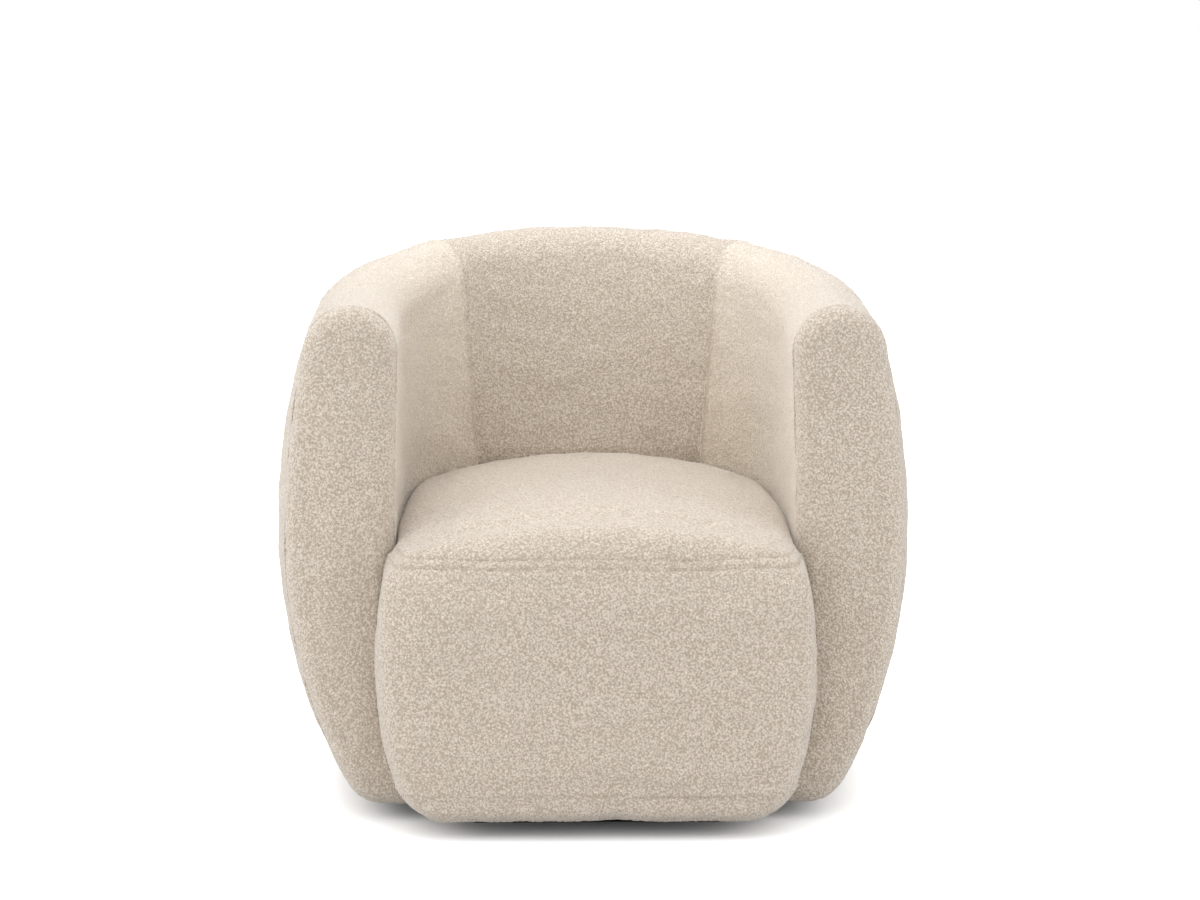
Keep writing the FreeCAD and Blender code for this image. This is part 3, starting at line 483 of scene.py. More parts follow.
def arm_nose(name, side):
    """The rounded front end of an arm, with a soft flat face."""
    rings = nose_rings(side)
    ring_ids = np.arange(rings.size // 3).reshape(rings.shape[:2])
    cap_ids, inside = nose_cap_ids(ring_ids)
    points = np.concatenate((rings.reshape(-1, 3), nose_cap(rings[-1])[inside]))
    steps = np.linalg.norm(np.diff(rings[:, HALF_RING // 2], axis=0), axis=1)
    border = np.concatenate(([0], steps.cumsum()))
    distance = np.concatenate((np.repeat(border, rings.shape[1]), np.full(int(inside.sum()), 90.0)))
    ring_normals = grid_normals(np.concatenate((rings, rings[:, :1]), axis=1))[:, :-1]
    outward = rings - rings.mean(axis=1, keepdims=True)
    if (ring_normals[2] * outward[2]).sum() < 0:
        ring_normals = -ring_normals
    normals = np.zeros_like(points)
    normals[:ring_ids.size] = ring_normals.reshape(-1, 3)
    normals[ring_ids.size:] = (0, -1, 0)
    sink = seam_dip(points, distance, EDGE_SEAM, 17) - swell(points)
    points = points - normals * sink[:, None]
    faces = nose_faces(ring_ids, cap_ids, side == LEFT)
    piece = mesh_from(name, points, faces, loft_near(distance, EDGE_SEAM))
    set_outward(piece)
    return piece


def set_outward(piece):
    shape = bmesh.new()
    shape.from_mesh(piece.data)
    bmesh.ops.recalc_face_normals(shape, faces=shape.faces)
    shape.to_mesh(piece.data)
    shape.free()


# Seat pod

def crossing(centre_a, radius_a, centre_b, radius_b):
    span = math.hypot(centre_b[0] - centre_a[0], centre_b[1] - centre_a[1])
    along = (radius_a ** 2 - radius_b ** 2 + span ** 2) / (2 * span)
    off = math.sqrt(radius_a ** 2 - along ** 2)
    turn = heading(centre_a, centre_b)
    spots = [(centre_a[0] + along * math.cos(turn) - s * math.sin(turn),
              centre_a[1] + along * math.sin(turn) + s * math.cos(turn)) for s in (off, -off)]
    return max(spots)


def crown_at(y):
    offset = y + CROWN_PEAK
    if offset < 0:
        run = POD_FRONT - NOSE_DEPTH - CROWN_PEAK
        return CROWN_HEIGHT - CROWN_FRONT_FALL * (offset / run) ** 2
    return CROWN_HEIGHT - CROWN_REAR_FALL * (offset / (CROWN_PEAK + POD_REAR)) ** 2


def pod_ring(y, side_inset, top_inset, hem_inset, count):
    """The pod's cross-section at one y, from the middle of its underside round to it again."""
    flank_centre = (POD_HALF_WIDTH - POD_SIDE_RADIUS, POD_WIDEST_LEVEL)
    flank = POD_SIDE_RADIUS - side_inset
    crown_centre = (0.0, crown_at(y) - CROWN_RADIUS)
    crown = CROWN_RADIUS - top_inset
    edge = POD_EDGE_RADIUS - side_inset
    edge_centre = crossing(flank_centre, flank - edge, crown_centre, crown - edge)
    hem = POD_HEM_RADIUS - hem_inset
    hem_level = FLOOR_GAP + POD_HEM_RADIUS
    reach = math.sqrt((flank - hem) ** 2 - (hem_level - flank_centre[1]) ** 2)
    hem_centre = (flank_centre[0] + reach, hem_level)
    hem_end = heading(flank_centre, hem_centre)
    edge_start, edge_end = heading(flank_centre, edge_centre), heading(crown_centre, edge_centre)
    half = np.concatenate((line((0.0, hem_level - hem), (hem_centre[0], hem_level - hem)),
                           arc(hem_centre, hem, -math.pi / 2, hem_end),
                           arc(flank_centre, flank, hem_end, edge_start),
                           arc(edge_centre, edge, edge_start, edge_end),
                           arc(crown_centre, crown, edge_end, math.pi / 2)))
    half = along(half, even(count + 1))
    mirrored = half[::-1][1:-1] * (-1, 1)
    ring = np.concatenate((half, mirrored))
    return np.column_stack((ring[:, 0], np.full(len(ring), y), ring[:, 1]))


def pod_blank():
    """The whole pod as a plain closed mesh, before it is fitted into the shell."""
    count, rings = 110, []
    for turn in np.radians(np.linspace(0, 90, 14)):
        share = 1 - math.sin(turn)
        y = NOSE_DEPTH * (1 - math.cos(turn)) - POD_FRONT
        rings.append(pod_ring(y, NOSE_SIDE * share, NOSE_TOP * share, NOSE_HEM * share, count))
    for y in np.linspace(NOSE_DEPTH - POD_FRONT, POD_REAR, 80)[1:]:
        rings.append(pod_ring(y, 0.0, 0.0, 0.0, count))
    rings = np.array(rings)
    around = rings.shape[1]
    ids = np.arange(rings.size // 3).reshape(rings.shape[:2])
    closed_ids = np.concatenate((ids, ids[:, :1]), axis=1)
    caps = []
    for row in (ids[0], ids[-1]):
        for k in range(around // 2):
            mate, after = (around - k) % around, around - k - 1
            corners = list(dict.fromkeys((row[k], row[k + 1], row[after], row[mate])))
            caps.append(corners)
    points = rings.reshape(-1, 3)
    squares = np.array([c for c in caps if len(c) == 4])
    tips = np.array([c for c in caps if len(c) == 3])
    piece = mesh_from("seat_blank", points, [quads(closed_ids), squares, tips])
    set_outward(piece)
    return piece


def prism(name, outline, low, high):
    """A straight column over a plan outline, in millimetres."""
    outline = np.asarray(outline, float)
    count = len(outline)
    points = np.concatenate((np.column_stack((outline, np.full(count, low))),
                             np.column_stack((outline, np.full(count, high)))))
    ring = np.arange(count)
    after = np.roll(ring, -1)
    sides = np.stack((ring, after, after + count, ring + count), axis=1)
    piece = mesh_from(name, points, [sides, ring[None, ::-1], ring[None] + count])
    set_outward(piece)
    return piece


def combine(piece, tool, operation):
    """Boolean of two closed meshes, kept on the first."""
    modifier = piece.modifiers.new("fit", "BOOLEAN")
    modifier.object, modifier.operation = tool, operation
    modifier.solver = "MANIFOLD"
    bake(piece)
    bpy.data.objects.remove(tool)


def bake(piece):
    """Replaces a piece's mesh by what its modifiers make of it."""
    bpy.context.view_layer.update()
    graph = bpy.context.evaluated_depsgraph_get()
    mesh = bpy.data.meshes.new_from_object(piece.evaluated_get(graph))
    piece.modifiers.clear()
    old = piece.data
    piece.data = mesh
    mesh.name = piece.name
    bpy.data.meshes.remove(old)


def seat_plan():
    """Plan outline of the room for the seat between the arms, open past their fronts."""
    start = FRONT_ROUND - ARM_FRONT
    side = []
    for turn in np.radians(np.linspace(0, 90, 9)):
        row = Section(RIGHT, y=start - FRONT_ROUND * math.cos(turn))
        side.append((row.inner + FRONT_ROUND * (1 - math.sin(turn)), row.y))
    side += [(Section(RIGHT, y=y).inner, y) for y in np.linspace(start, 0, 12)[1:]]
    for angle in np.linspace(90, 0, 50)[1:]:
        row = Section(RIGHT, angle=angle)
        side.append((row.inner * math.sin(row.angle), row.inner * math.cos(row.angle)))
    side = np.array(side)
    side[:, 0] -= FIT_GAP
    side[side[:, 1] > 100, 1] -= FIT_GAP
    ahead = -ARM_FRONT - FIT_GAP
    front = [(320.0, -POD_FRONT - 50.0), (320.0, ahead), (side[0, 0], ahead)]
    right = np.concatenate((front, side[1:-1], [(0.0, side[-1, 1])]))
    left = right[::-1][1:] * (-1, 1)
    return np.concatenate((right, left))


def seat_body():
    """The pod fitted between the arms, with rounded edges where it meets them."""
    pod = pod_blank()
    combine(pod, prism("seat_room", seat_plan(), 0.0, 500.0), "INTERSECT")
    under = [(-330, -ARM_FRONT - FIT_GAP), (330, -ARM_FRONT - FIT_GAP), (330, 300), (-330, 300)]
    combine(pod, prism("under_seat", under, 0.0, SEAT_FOAM_BOTTOM), "DIFFERENCE")
    remesh = pod.modifiers.new("even", "REMESH")
    remesh.mode, remesh.voxel_size = "VOXEL", 2 * THREAD_STEP * MM
    smooth = pod.modifiers.new("round", "SMOOTH")
    smooth.factor, smooth.iterations = 0.5, 4
    bake(pod)
    settle_seat(pod)
    fine = pod.modifiers.new("fine", "SUBSURF")
    fine.levels = fine.render_levels = 1
    bake(pod)
    return pod


def settle_seat(pod):
    """Swells the pod between its seams, keeping its mean size."""
    points, normal = coords(pod.data), normals_of(pod.data)
    ahead = points[:, 1] < -ARM_FRONT
    sewn = ahead & (np.abs(points[:, 2] - HEM_SEAM) < 4)
    held = sewn | (~ahead & (points[:, 2] < SEAT_SEAM)) | (points[:, 2] < FLOOR_GAP + 4)
    moved = settle(pod, np.nonzero(held)[0], SEAT_SLACK, SEAT_CAP)
    outward = (moved * normal).sum(axis=1)
    rise = outward - np.median(outward[~held]) * ~held
    points = points + SEAT_SHARE * normal * np.clip(rise, -5.0, 5.0)[:, None]
    pod.data.vertices.foreach_set("co", (points * MM).ravel())


def coords(mesh):
    points = np.empty(len(mesh.vertices) * 3, np.float32)
    mesh.vertices.foreach_get("co", points)
    return points.reshape(-1, 3).astype(float) / MM


def normals_of(mesh):
    found = np.empty(len(mesh.vertices) * 3, np.float32)
    mesh.vertices.foreach_get("normal", found)
    return found.reshape(-1, 3).astype(float)


STITCH_ROWS = (SEAT_SEAM + 5.5, SEAT_SEAM - 5.5)
# Each row's level, depth and width
SEWN_ROWS = ((STITCH_ROWS[0], 1.9, 2.0), (STITCH_ROWS[1], 2.2, 2.0), (HEM_SEAM, 3.0, 2.2))


def dress_seat(pod):
    """Sinks the pod's face along its stitched rows and hem seam."""
    points, normal = coords(pod.data), normals_of(pod.data)
    forward = np.clip((-ARM_FRONT - points[:, 1]) / 30.0, 0.0, 1.0)
    sink = -swell(points)
    loft = np.ones(len(points))
    wave = drift(points[:, :1] * (1, 0, 0), 0.8, 160.0, 7)
    for level, depth, width in SEWN_ROWS:
        away = np.abs(points[:, 2] - level - wave)
        ripple = 1.0 + drift(points, 0.35, 22.0, int(level))
        sink = sink + forward * (dip(away, depth, width) * ripple + dip(away, 0.4, 12.0))
        loft = np.minimum(loft, 1.0 - 0.85 * forward * np.exp(-(away / 2.2) ** 2))
    points = points - normal * sink[:, None]
    pod.data.vertices.foreach_set("co", (points * MM).ravel())
    paint(pod, "loft", loft)


def stitch_path(pod, level, spacing):
    """Points along a sewn row on the pod's front, level as the row."""
    tree = BVHTree.FromObject(pod, bpy.context.evaluated_depsgraph_get())
    hits = []
    for turn in np.radians(np.linspace(-84, 84, 500)):
        out = Vector((math.sin(turn), -math.cos(turn), 0.0))
        place = Vector((0.0, -0.2, level * MM)) + out * 0.6
        hit = tree.ray_cast(place, -out)[0]
        if hit is not None and hit.y < (-ARM_FRONT - 3) * MM:
            x = np.array([[hit.x / MM, 0.0, 0.0]])
            wave = drift(x, 0.8, 160.0, 7)[0]
            hits.append((hit.x / MM, hit.y / MM, level + wave))
    hits = np.array(hits)
    return along(hits, even(round(length_of(hits) / spacing) + 1))


def duplicate(piece, name):
    copy = bpy.data.objects.new(name, piece.data.copy())
    bpy.context.scene.collection.objects.link(copy)
    return copy


def split_seat(pod):
    """Cuts the pod along its seams into the seat cushion, front panel and hem band."""
    ahead = -ARM_FRONT - FIT_GAP
    front = [(-330, -460), (330, -460), (330, ahead), (-330, ahead)]
    cushion = duplicate(pod, "seat_cushion")
    combine(cushion, prism("cut", front, -10, SEAT_SEAM), "DIFFERENCE")
    panel = duplicate(pod, "front_panel")
    combine(panel, prism("cut", front, HEM_SEAM, SEAT_SEAM), "INTERSECT")
    band = duplicate(pod, "hem_band")
    combine(band, prism("cut", front, -10, HEM_SEAM), "INTERSECT")
    bpy.data.objects.remove(pod)
    return cushion, panel, band


# Geometry node trees

def new_tree(name, inputs):
    tree = bpy.data.node_groups.new(name, "GeometryNodeTree")
    tree.interface.new_socket("Geometry", in_out="INPUT", socket_type="NodeSocketGeometry")
    for label, kind, value in inputs:
        socket = tree.interface.new_socket(label, in_out="INPUT", socket_type=kind)
        if value is not None:
            socket.default_value = value
    tree.interface.new_socket("Geometry", in_out="OUTPUT", socket_type="NodeSocketGeometry")
    return tree


def set_inputs(modifier, **values):
    for item in modifier.node_group.interface.items_tree:
        if item.item_type == "SOCKET" and item.in_out == "INPUT":
            key = item.name.replace(" ", "_").lower()
            if key in values:
                modifier[item.identifier] = values[key]


def add_node(tree, kind, at=(0, 0), **settings):
    item = tree.nodes.new(kind)
    item.location = at
    for key, value in settings.items():
        setattr(item, key, value)
    return item


LOOP_SIZE = 0.0026     # in metres, as the trees read it
TUFT_SIZE = 0.0045


def loops_of_cloth(tree, place, size):
    """Nodes for the height of the boucle's loops, 0 between them and about 1 on top."""
    link = tree.links.new
    per = add_node(tree, "ShaderNodeMath", operation="DIVIDE")
    per.inputs[0].default_value = 1.0
    link(size, per.inputs[1])
    wobble = add_node(tree, "ShaderNodeTexNoise", noise_dimensions="3D")
    wobble.inputs["Detail"].default_value = 1.0
    link(per.outputs[0], wobble.inputs["Scale"])
    link(place, wobble.inputs["Vector"])
    centred = add_node(tree, "ShaderNodeVectorMath", operation="SUBTRACT")
    centred.inputs[1].default_value = (0.5, 0.5, 0.5)
    link(wobble.outputs["Color"], centred.inputs[0])
    span = add_node(tree, "ShaderNodeVectorMath", operation="SCALE")
    link(centred.outputs[0], span.inputs[0])
    link(size, span.inputs["Scale"])
    bent = add_node(tree, "ShaderNodeVectorMath", operation="MULTIPLY_ADD")
    bent.inputs[1].default_value = (1.6, 1.6, 1.6)
    link(span.outputs[0], bent.inputs[0])
    link(place, bent.inputs[2])
    cells = add_node(tree, "ShaderNodeTexVoronoi", feature="F1", voronoi_dimensions="3D")
    link(per.outputs[0], cells.inputs["Scale"])
    link(bent.outputs[0], cells.inputs["Vector"])
    domed = add_node(tree, "ShaderNodeMapRange", interpolation_type="SMOOTHSTEP")
    for key, value in (("From Min", 0.78), ("From Max", 0.20), ("To Min", 0.0), ("To Max", 1.0)):
        domed.inputs[key].default_value = value
    link(cells.outputs["Distance"], domed.inputs["Value"])
    return domed.outputs[0], cells.outputs["Color"], per.outputs[0]


def nap_tree():
    """Raises the loops of boucle on a cloth mesh."""
    tree = new_tree("boucle_nap", [("Loop size", "NodeSocketFloat", LOOP_SIZE),
                                   ("Loop height", "NodeSocketFloat", 0.0014),
                                   ("Cloth", "NodeSocketMaterial", None)])
    link = tree.links.new
    start = add_node(tree, "NodeGroupInput")
    place = add_node(tree, "GeometryNodeInputPosition")
    height, shade, per = loops_of_cloth(tree, place.outputs[0], start.outputs["Loop size"])
    centred = add_node(tree, "ShaderNodeMath", operation="SUBTRACT")
    centred.inputs[1].default_value = 0.5
    link(height, centred.inputs[0])
    loft = add_node(tree, "GeometryNodeInputNamedAttribute", data_type="FLOAT")
    loft.inputs["Name"].default_value = "loft"
    sized = add_node(tree, "ShaderNodeMath", operation="MULTIPLY")
    link(centred.outputs[0], sized.inputs[0])
    link(loft.outputs["Attribute"], sized.inputs[1])
    tall = add_node(tree, "ShaderNodeMath", operation="MULTIPLY")
    link(sized.outputs[0], tall.inputs[0])
    link(start.outputs["Loop height"], tall.inputs[1])
    normal = add_node(tree, "GeometryNodeInputNormal")
    move = add_node(tree, "ShaderNodeVectorMath", operation="SCALE")
    link(normal.outputs[0], move.inputs[0])
    link(tall.outputs[0], move.inputs["Scale"])
    raised = add_node(tree, "GeometryNodeSetPosition")
    link(start.outputs["Geometry"], raised.inputs["Geometry"])
    link(move.outputs[0], raised.inputs["Offset"])
    smooth = add_node(tree, "GeometryNodeSetShadeSmooth")
    link(raised.outputs[0], smooth.inputs[0])
    real = add_node(tree, "GeometryNodeRealizeInstances")
    link(smooth.outputs[0], real.inputs[0])
    cloth = add_node(tree, "GeometryNodeSetMaterial")
    link(real.outputs[0], cloth.inputs["Geometry"])
    link(start.outputs["Cloth"], cloth.inputs["Material"])
    end = add_node(tree, "NodeGroupOutput")
    link(cloth.outputs[0], end.inputs[0])
    return tree


def stitch_tree():
    """Lays short thread stitches along a path."""
    tree = new_tree("stitches", [("Spacing", "NodeSocketFloat", 0.0065),
                                 ("Stitch length", "NodeSocketFloat", 0.0042),
                                 ("Thread radius", "NodeSocketFloat", 0.0005),
                                 ("Thread", "NodeSocketMaterial", None)])
    link = tree.links.new
    start = add_node(tree, "NodeGroupInput")
    curve = add_node(tree, "GeometryNodeMeshToCurve")
    link(start.outputs["Geometry"], curve.inputs[0])
    spots = add_node(tree, "GeometryNodeCurveToPoints", mode="LENGTH")
    link(curve.outputs[0], spots.inputs["Curve"])
    link(start.outputs["Spacing"], spots.inputs["Length"])
    body = add_node(tree, "GeometryNodeMeshCylinder")
    body.inputs["Vertices"].default_value = 8
    link(start.outputs["Thread radius"], body.inputs["Radius"])
    link(start.outputs["Stitch length"], body.inputs["Depth"])
    laid = add_node(tree, "GeometryNodeInstanceOnPoints")
    link(spots.outputs["Points"], laid.inputs["Points"])
    link(body.outputs["Mesh"], laid.inputs["Instance"])
    link(spots.outputs["Rotation"], laid.inputs["Rotation"])
    real = add_node(tree, "GeometryNodeRealizeInstances")
    link(laid.outputs[0], real.inputs[0])
    thread = add_node(tree, "GeometryNodeSetMaterial")
    link(real.outputs[0], thread.inputs["Geometry"])
    link(start.outputs["Thread"], thread.inputs["Material"])
    end = add_node(tree, "NodeGroupOutput")
    link(thread.outputs[0], end.inputs[0])
    return tree


def raise_nap(piece, tree, cloth, size=TUFT_SIZE, height=0.0010):
    modifier = piece.modifiers.new("nap", "NODES")
    modifier.node_group = tree
    set_inputs(modifier, loop_size=size, loop_height=height, cloth=cloth)
    bake(piece)
    piece.data.set_sharp_from_angle(angle=math.radians(70))


# Materials

def new_material(name):
    material = bpy.data.materials.new(name)
    material.use_nodes = True
    tree = material.node_tree
    return material, tree, tree.nodes["Principled BSDF"]


def boucle_group():
    """Loop height and tone of boucle cloth, from Object coordinates; between the loops the colour is
    darker, painted shade.
    """
    tree = bpy.data.node_groups.new("boucle_loops", "ShaderNodeTree")
    for label, kind, value in (("Place", "NodeSocketVector", None),
                               ("Loop size", "NodeSocketFloat", LOOP_SIZE),
                               ("Curl", "NodeSocketFloat", 0.4),
                               ("Deep", "NodeSocketColor", (0.35, 0.27, 0.2, 1)),
                               ("Loop", "NodeSocketColor", (0.8, 0.7, 0.6, 1))):
        socket = tree.interface.new_socket(label, in_out="INPUT", socket_type=kind)
        if value is not None:
            socket.default_value = value
    tree.interface.new_socket("Colour", in_out="OUTPUT", socket_type="NodeSocketColor")
    tree.interface.new_socket("Height", in_out="OUTPUT", socket_type="NodeSocketFloat")
    link = tree.links.new
    start = add_node(tree, "NodeGroupInput")
    height, shade, per = loops_of_cloth(tree, start.outputs["Place"], start.outputs["Loop size"])
    finer = add_node(tree, "ShaderNodeMath", operation="MULTIPLY")
    finer.inputs[1].default_value = 2.5
    link(per, finer.inputs[0])
    curl = add_node(tree, "ShaderNodeTexNoise")
    curl.inputs["Detail"].default_value = 2.0
    link(finer.outputs[0], curl.inputs["Scale"])
    link(start.outputs["Place"], curl.inputs["Vector"])
    curled = add_node(tree, "ShaderNodeMath", operation="MULTIPLY_ADD")
    link(curl.outputs[0], curled.inputs[0])
    link(start.outputs["Curl"], curled.inputs[1])
    link(height, curled.inputs[2])
    reach = add_node(tree, "ShaderNodeMapRange")
    for key, value in (("From Min", 0.05), ("From Max", 1.15)):
        reach.inputs[key].default_value = value
    link(curled.outputs[0], reach.inputs["Value"])
    # Colour from the gaps up to the loops' tops; the darker gap colour is painted shade
    loops_over_gap_shade = add_node(tree, "ShaderNodeMix", data_type="RGBA")
    link(reach.outputs[0], loops_over_gap_shade.inputs[0])
    link(start.outputs["Deep"], loops_over_gap_shade.inputs[6])
    link(start.outputs["Loop"], loops_over_gap_shade.inputs[7])
    apart = add_node(tree, "ShaderNodeSeparateColor")
    link(shade, apart.inputs[0])
    tone = add_node(tree, "ShaderNodeMapRange")
    for key, value in (("To Min", 0.94), ("To Max", 1.05)):
        tone.inputs[key].default_value = value
    link(apart.outputs[0], tone.inputs["Value"])
    lit = add_node(tree, "ShaderNodeVectorMath", operation="SCALE")
    link(loops_over_gap_shade.outputs[2], lit.inputs[0])
    link(tone.outputs[0], lit.inputs["Scale"])
    end = add_node(tree, "NodeGroupOutput")
    link(lit.outputs[0], end.inputs["Colour"])
    link(curled.outputs[0], end.inputs["Height"])
    return tree


# Pairs of cloth colours, between the loops (darker, painted shade) and on the loops; the second of
# each pair is a lighter copy for the inner arms, painted sheen
PAINTED_GAP_SHADE, GAP_SHADE_WITH_PAINTED_SHEEN = (0.45, 0.37, 0.288, 1), (0.64, 0.55, 0.445, 1)
LOOP, LOOP_WITH_PAINTED_SHEEN = (0.815, 0.73, 0.635, 1), (0.90, 0.815, 0.71, 1)


def boucle():
    material, tree, shader = new_material("cream_boucle")
    link = tree.links.new
    place = add_node(tree, "ShaderNodeTexCoord")
    loops = add_node(tree, "ShaderNodeGroup")
    loops.node_tree = boucle_group()
    # Blends in the lighter colours where the inner arms are marked: painted sheen
    painted_sheen = add_node(tree, "ShaderNodeAttribute", attribute_name="painted_sheen")
    for label, plain, smooth in (("Deep", PAINTED_GAP_SHADE, GAP_SHADE_WITH_PAINTED_SHEEN), ("Loop", LOOP, LOOP_WITH_PAINTED_SHEEN)):
        tone = add_node(tree, "ShaderNodeMix", data_type="RGBA")
        tone.inputs[6].default_value, tone.inputs[7].default_value = plain, smooth
        link(painted_sheen.outputs["Fac"], tone.inputs[0])
        link(tone.outputs[2], loops.inputs[label])
    link(place.outputs["Object"], loops.inputs["Place"])
    link(loops.outputs["Colour"], shader.inputs["Base Color"])
    bump = add_node(tree, "ShaderNodeBump")
    bump.inputs["Strength"].default_value = 0.8
    bump.inputs["Distance"].default_value = 0.0012
    link(loops.outputs["Height"], bump.inputs["Height"])
    link(bump.outputs[0], shader.inputs["Normal"])
    shader.inputs["Roughness"].default_value = 0.95
    shader.inputs["Specular IOR Level"].default_value = 0.1
    shader.inputs["Sheen Weight"].default_value = 0.9
    shader.inputs["Sheen Roughness"].default_value = 0.4
    shader.inputs["Sheen Tint"].default_value = (1.0, 0.96, 0.91, 1)
    return material


def pattern_group(name, kind):
    """A tone between 0 and 1 for one kind of surface, from Object coordinates."""
    tree = bpy.data.node_groups.new(name, "ShaderNodeTree")
    for label, socket_type, value in (("Place", "NodeSocketVector", None),
                                      ("Scale", "NodeSocketFloat", 60.0),
                                      ("Stretch", "NodeSocketVector", (1.0, 1.0, 1.0))):
        socket = tree.interface.new_socket(label, in_out="INPUT", socket_type=socket_type)
        if value is not None:
            socket.default_value = value
    tree.interface.new_socket("Tone", in_out="OUTPUT", socket_type="NodeSocketFloat")
    link = tree.links.new
    start = add_node(tree, "NodeGroupInput")
    drawn = add_node(tree, "ShaderNodeVectorMath", operation="MULTIPLY")
    link(start.outputs["Place"], drawn.inputs[0])
    link(start.outputs["Stretch"], drawn.inputs[1])
    end = add_node(tree, "NodeGroupOutput")
    broad = add_node(tree, "ShaderNodeTexNoise")
    broad.inputs["Detail"].default_value = 6.0
    link(drawn.outputs[0], broad.inputs["Vector"])
    link(start.outputs["Scale"], broad.inputs["Scale"])
    if kind == "noise":
        link(broad.outputs[0], end.inputs["Tone"])
        return tree
    if kind == "pores":
        fine = add_node(tree, "ShaderNodeTexVoronoi", feature="F1")
        link(drawn.outputs[0], fine.inputs["Vector"])
        link(start.outputs["Scale"], fine.inputs["Scale"])
        tone = fine.outputs["Distance"]
    else:
        fine = add_node(tree, "ShaderNodeTexWave", wave_type="RINGS" if kind == "rings" else "BANDS")
        fine.inputs["Distortion"].default_value = 6.0 if kind == "rings" else 0.4
        fine.inputs["Detail"].default_value = 3.0
        link(drawn.outputs[0], fine.inputs["Vector"])
        link(start.outputs["Scale"], fine.inputs["Scale"])
        tone = fine.outputs[1]
    both = add_node(tree, "ShaderNodeMix", data_type="FLOAT")
    both.inputs[0].default_value = 0.4
    link(tone, both.inputs[2])
    link(broad.outputs[0], both.inputs[3])
    link(both.outputs[0], end.inputs["Tone"])
    return tree


def surface(name, pattern, dark, light, roughness, metallic=0.0, scale=60.0,
            stretch=(1, 1, 1), bump=0.0003):
    """A finish between two colours, with its roughness and relief from the same pattern."""
    material, tree, shader = new_material(name)
    link = tree.links.new
    place = add_node(tree, "ShaderNodeTexCoord")
    grain = add_node(tree, "ShaderNodeGroup")
    grain.node_tree = pattern
    grain.inputs["Scale"].default_value = scale
    grain.inputs["Stretch"].default_value = stretch
    link(place.outputs["Object"], grain.inputs["Place"])
    ramp = add_node(tree, "ShaderNodeValToRGB")
    for element, position, colour in zip(ramp.color_ramp.elements, (0.3, 0.7), (dark, light)):
        element.position, element.color = position, (*colour, 1)
    link(grain.outputs["Tone"], ramp.inputs[0])
    link(ramp.outputs[0], shader.inputs["Base Color"])
    worn = add_node(tree, "ShaderNodeMapRange")
    worn.inputs["To Min"].default_value = roughness * 0.85
    worn.inputs["To Max"].default_value = min(1.0, roughness * 1.15)
    link(grain.outputs["Tone"], worn.inputs["Value"])
    link(worn.outputs[0], shader.inputs["Roughness"])
    raised = add_node(tree, "ShaderNodeBump")
    raised.inputs["Strength"].default_value = 0.5
    raised.inputs["Distance"].default_value = bump
    link(grain.outputs["Tone"], raised.inputs["Height"])
    link(raised.outputs[0], shader.inputs["Normal"])
    shader.inputs["Metallic"].default_value = metallic
    return material


# Upholstery

cloth = boucle()
nap = nap_tree()


def finish_cloth(piece, nodes):
    raise_nap(piece, nap, cloth)
    piece.data.name = piece.name
    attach(piece, "chair")
    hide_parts(*nodes)


# Seams by border: 0 first, 1 last, 2 low, 3 high
arm_seams = {0: EDGE_SEAM, 1: PANEL_SEAM}
for side, word in ((LEFT, "left"), (RIGHT, "right")):
    def rows(shares, side=side):
        return arm_places(side, shares)
    inside = shell_panel("inside_arm_" + word, rows, INSIDE, arm_seams | {2: EDGE_SEAM},
                         side == RIGHT, 20)
    finish_cloth(inside, ["inside_arm_cover_" + word, "inside_arm_foam_" + word])
    outside = shell_panel("outside_arm_" + word, rows, OUTSIDE, arm_seams | {3: EDGE_SEAM},
                          side == RIGHT, 30)
    finish_cloth(outside, ["outside_arm_cover_" + word, "outside_arm_foam_" + word])
    nose = arm_nose("arm_front_" + word, side)
    finish_cloth(nose, ["arm_front_cover_" + word, "arm_front_pad_" + word])

back_seams = {0: PANEL_SEAM, 1: PANEL_SEAM}
inside = shell_panel("inside_back", back_places, INSIDE, back_seams | {2: EDGE_SEAM}, False,
                     40)
finish_cloth(inside, ["inside_back_cover", "inside_back_foam"])
outside = shell_panel("outside_back", back_places, OUTSIDE, back_seams | {3: EDGE_SEAM},
                      False, 50)
finish_cloth(outside, ["outside_back_cover", "outside_back_foam"])

pod = seat_body()
dress_seat(pod)
paths = [stitch_path(pod, level, 3.0) for level in STITCH_ROWS]
cushion, panel, band = split_seat(pod)
finish_cloth(cushion, ["seat_top_cover", "seat_foam"])
finish_cloth(panel, ["front_panel_cover", "front_pad"])
finish_cloth(band, ["hem_band_cover"])

first, second = len(paths[0]), len(paths[1])
links = np.concatenate((np.arange(first - 1), np.arange(second - 1) + first))
stitches = mesh_from("seat_stitches", np.concatenate(paths), [],
                     edges=np.column_stack((links, links + 1)))
sewing = stitches.modifiers.new("sewing", "NODES")
sewing.node_group = stitch_tree()
speckled = pattern_group("speckled", "noise")
pored = pattern_group("pored", "pores")
ringed = pattern_group("ringed", "rings")
woven = pattern_group("woven", "bands")
thread = surface("cream_thread", woven, (0.55, 0.46, 0.36), (0.72, 0.63, 0.52), 0.7, scale=900.0)
set_inputs(sewing, thread=thread)
bake(stitches)
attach(stitches, "chair")

# Finishes of the frame and base

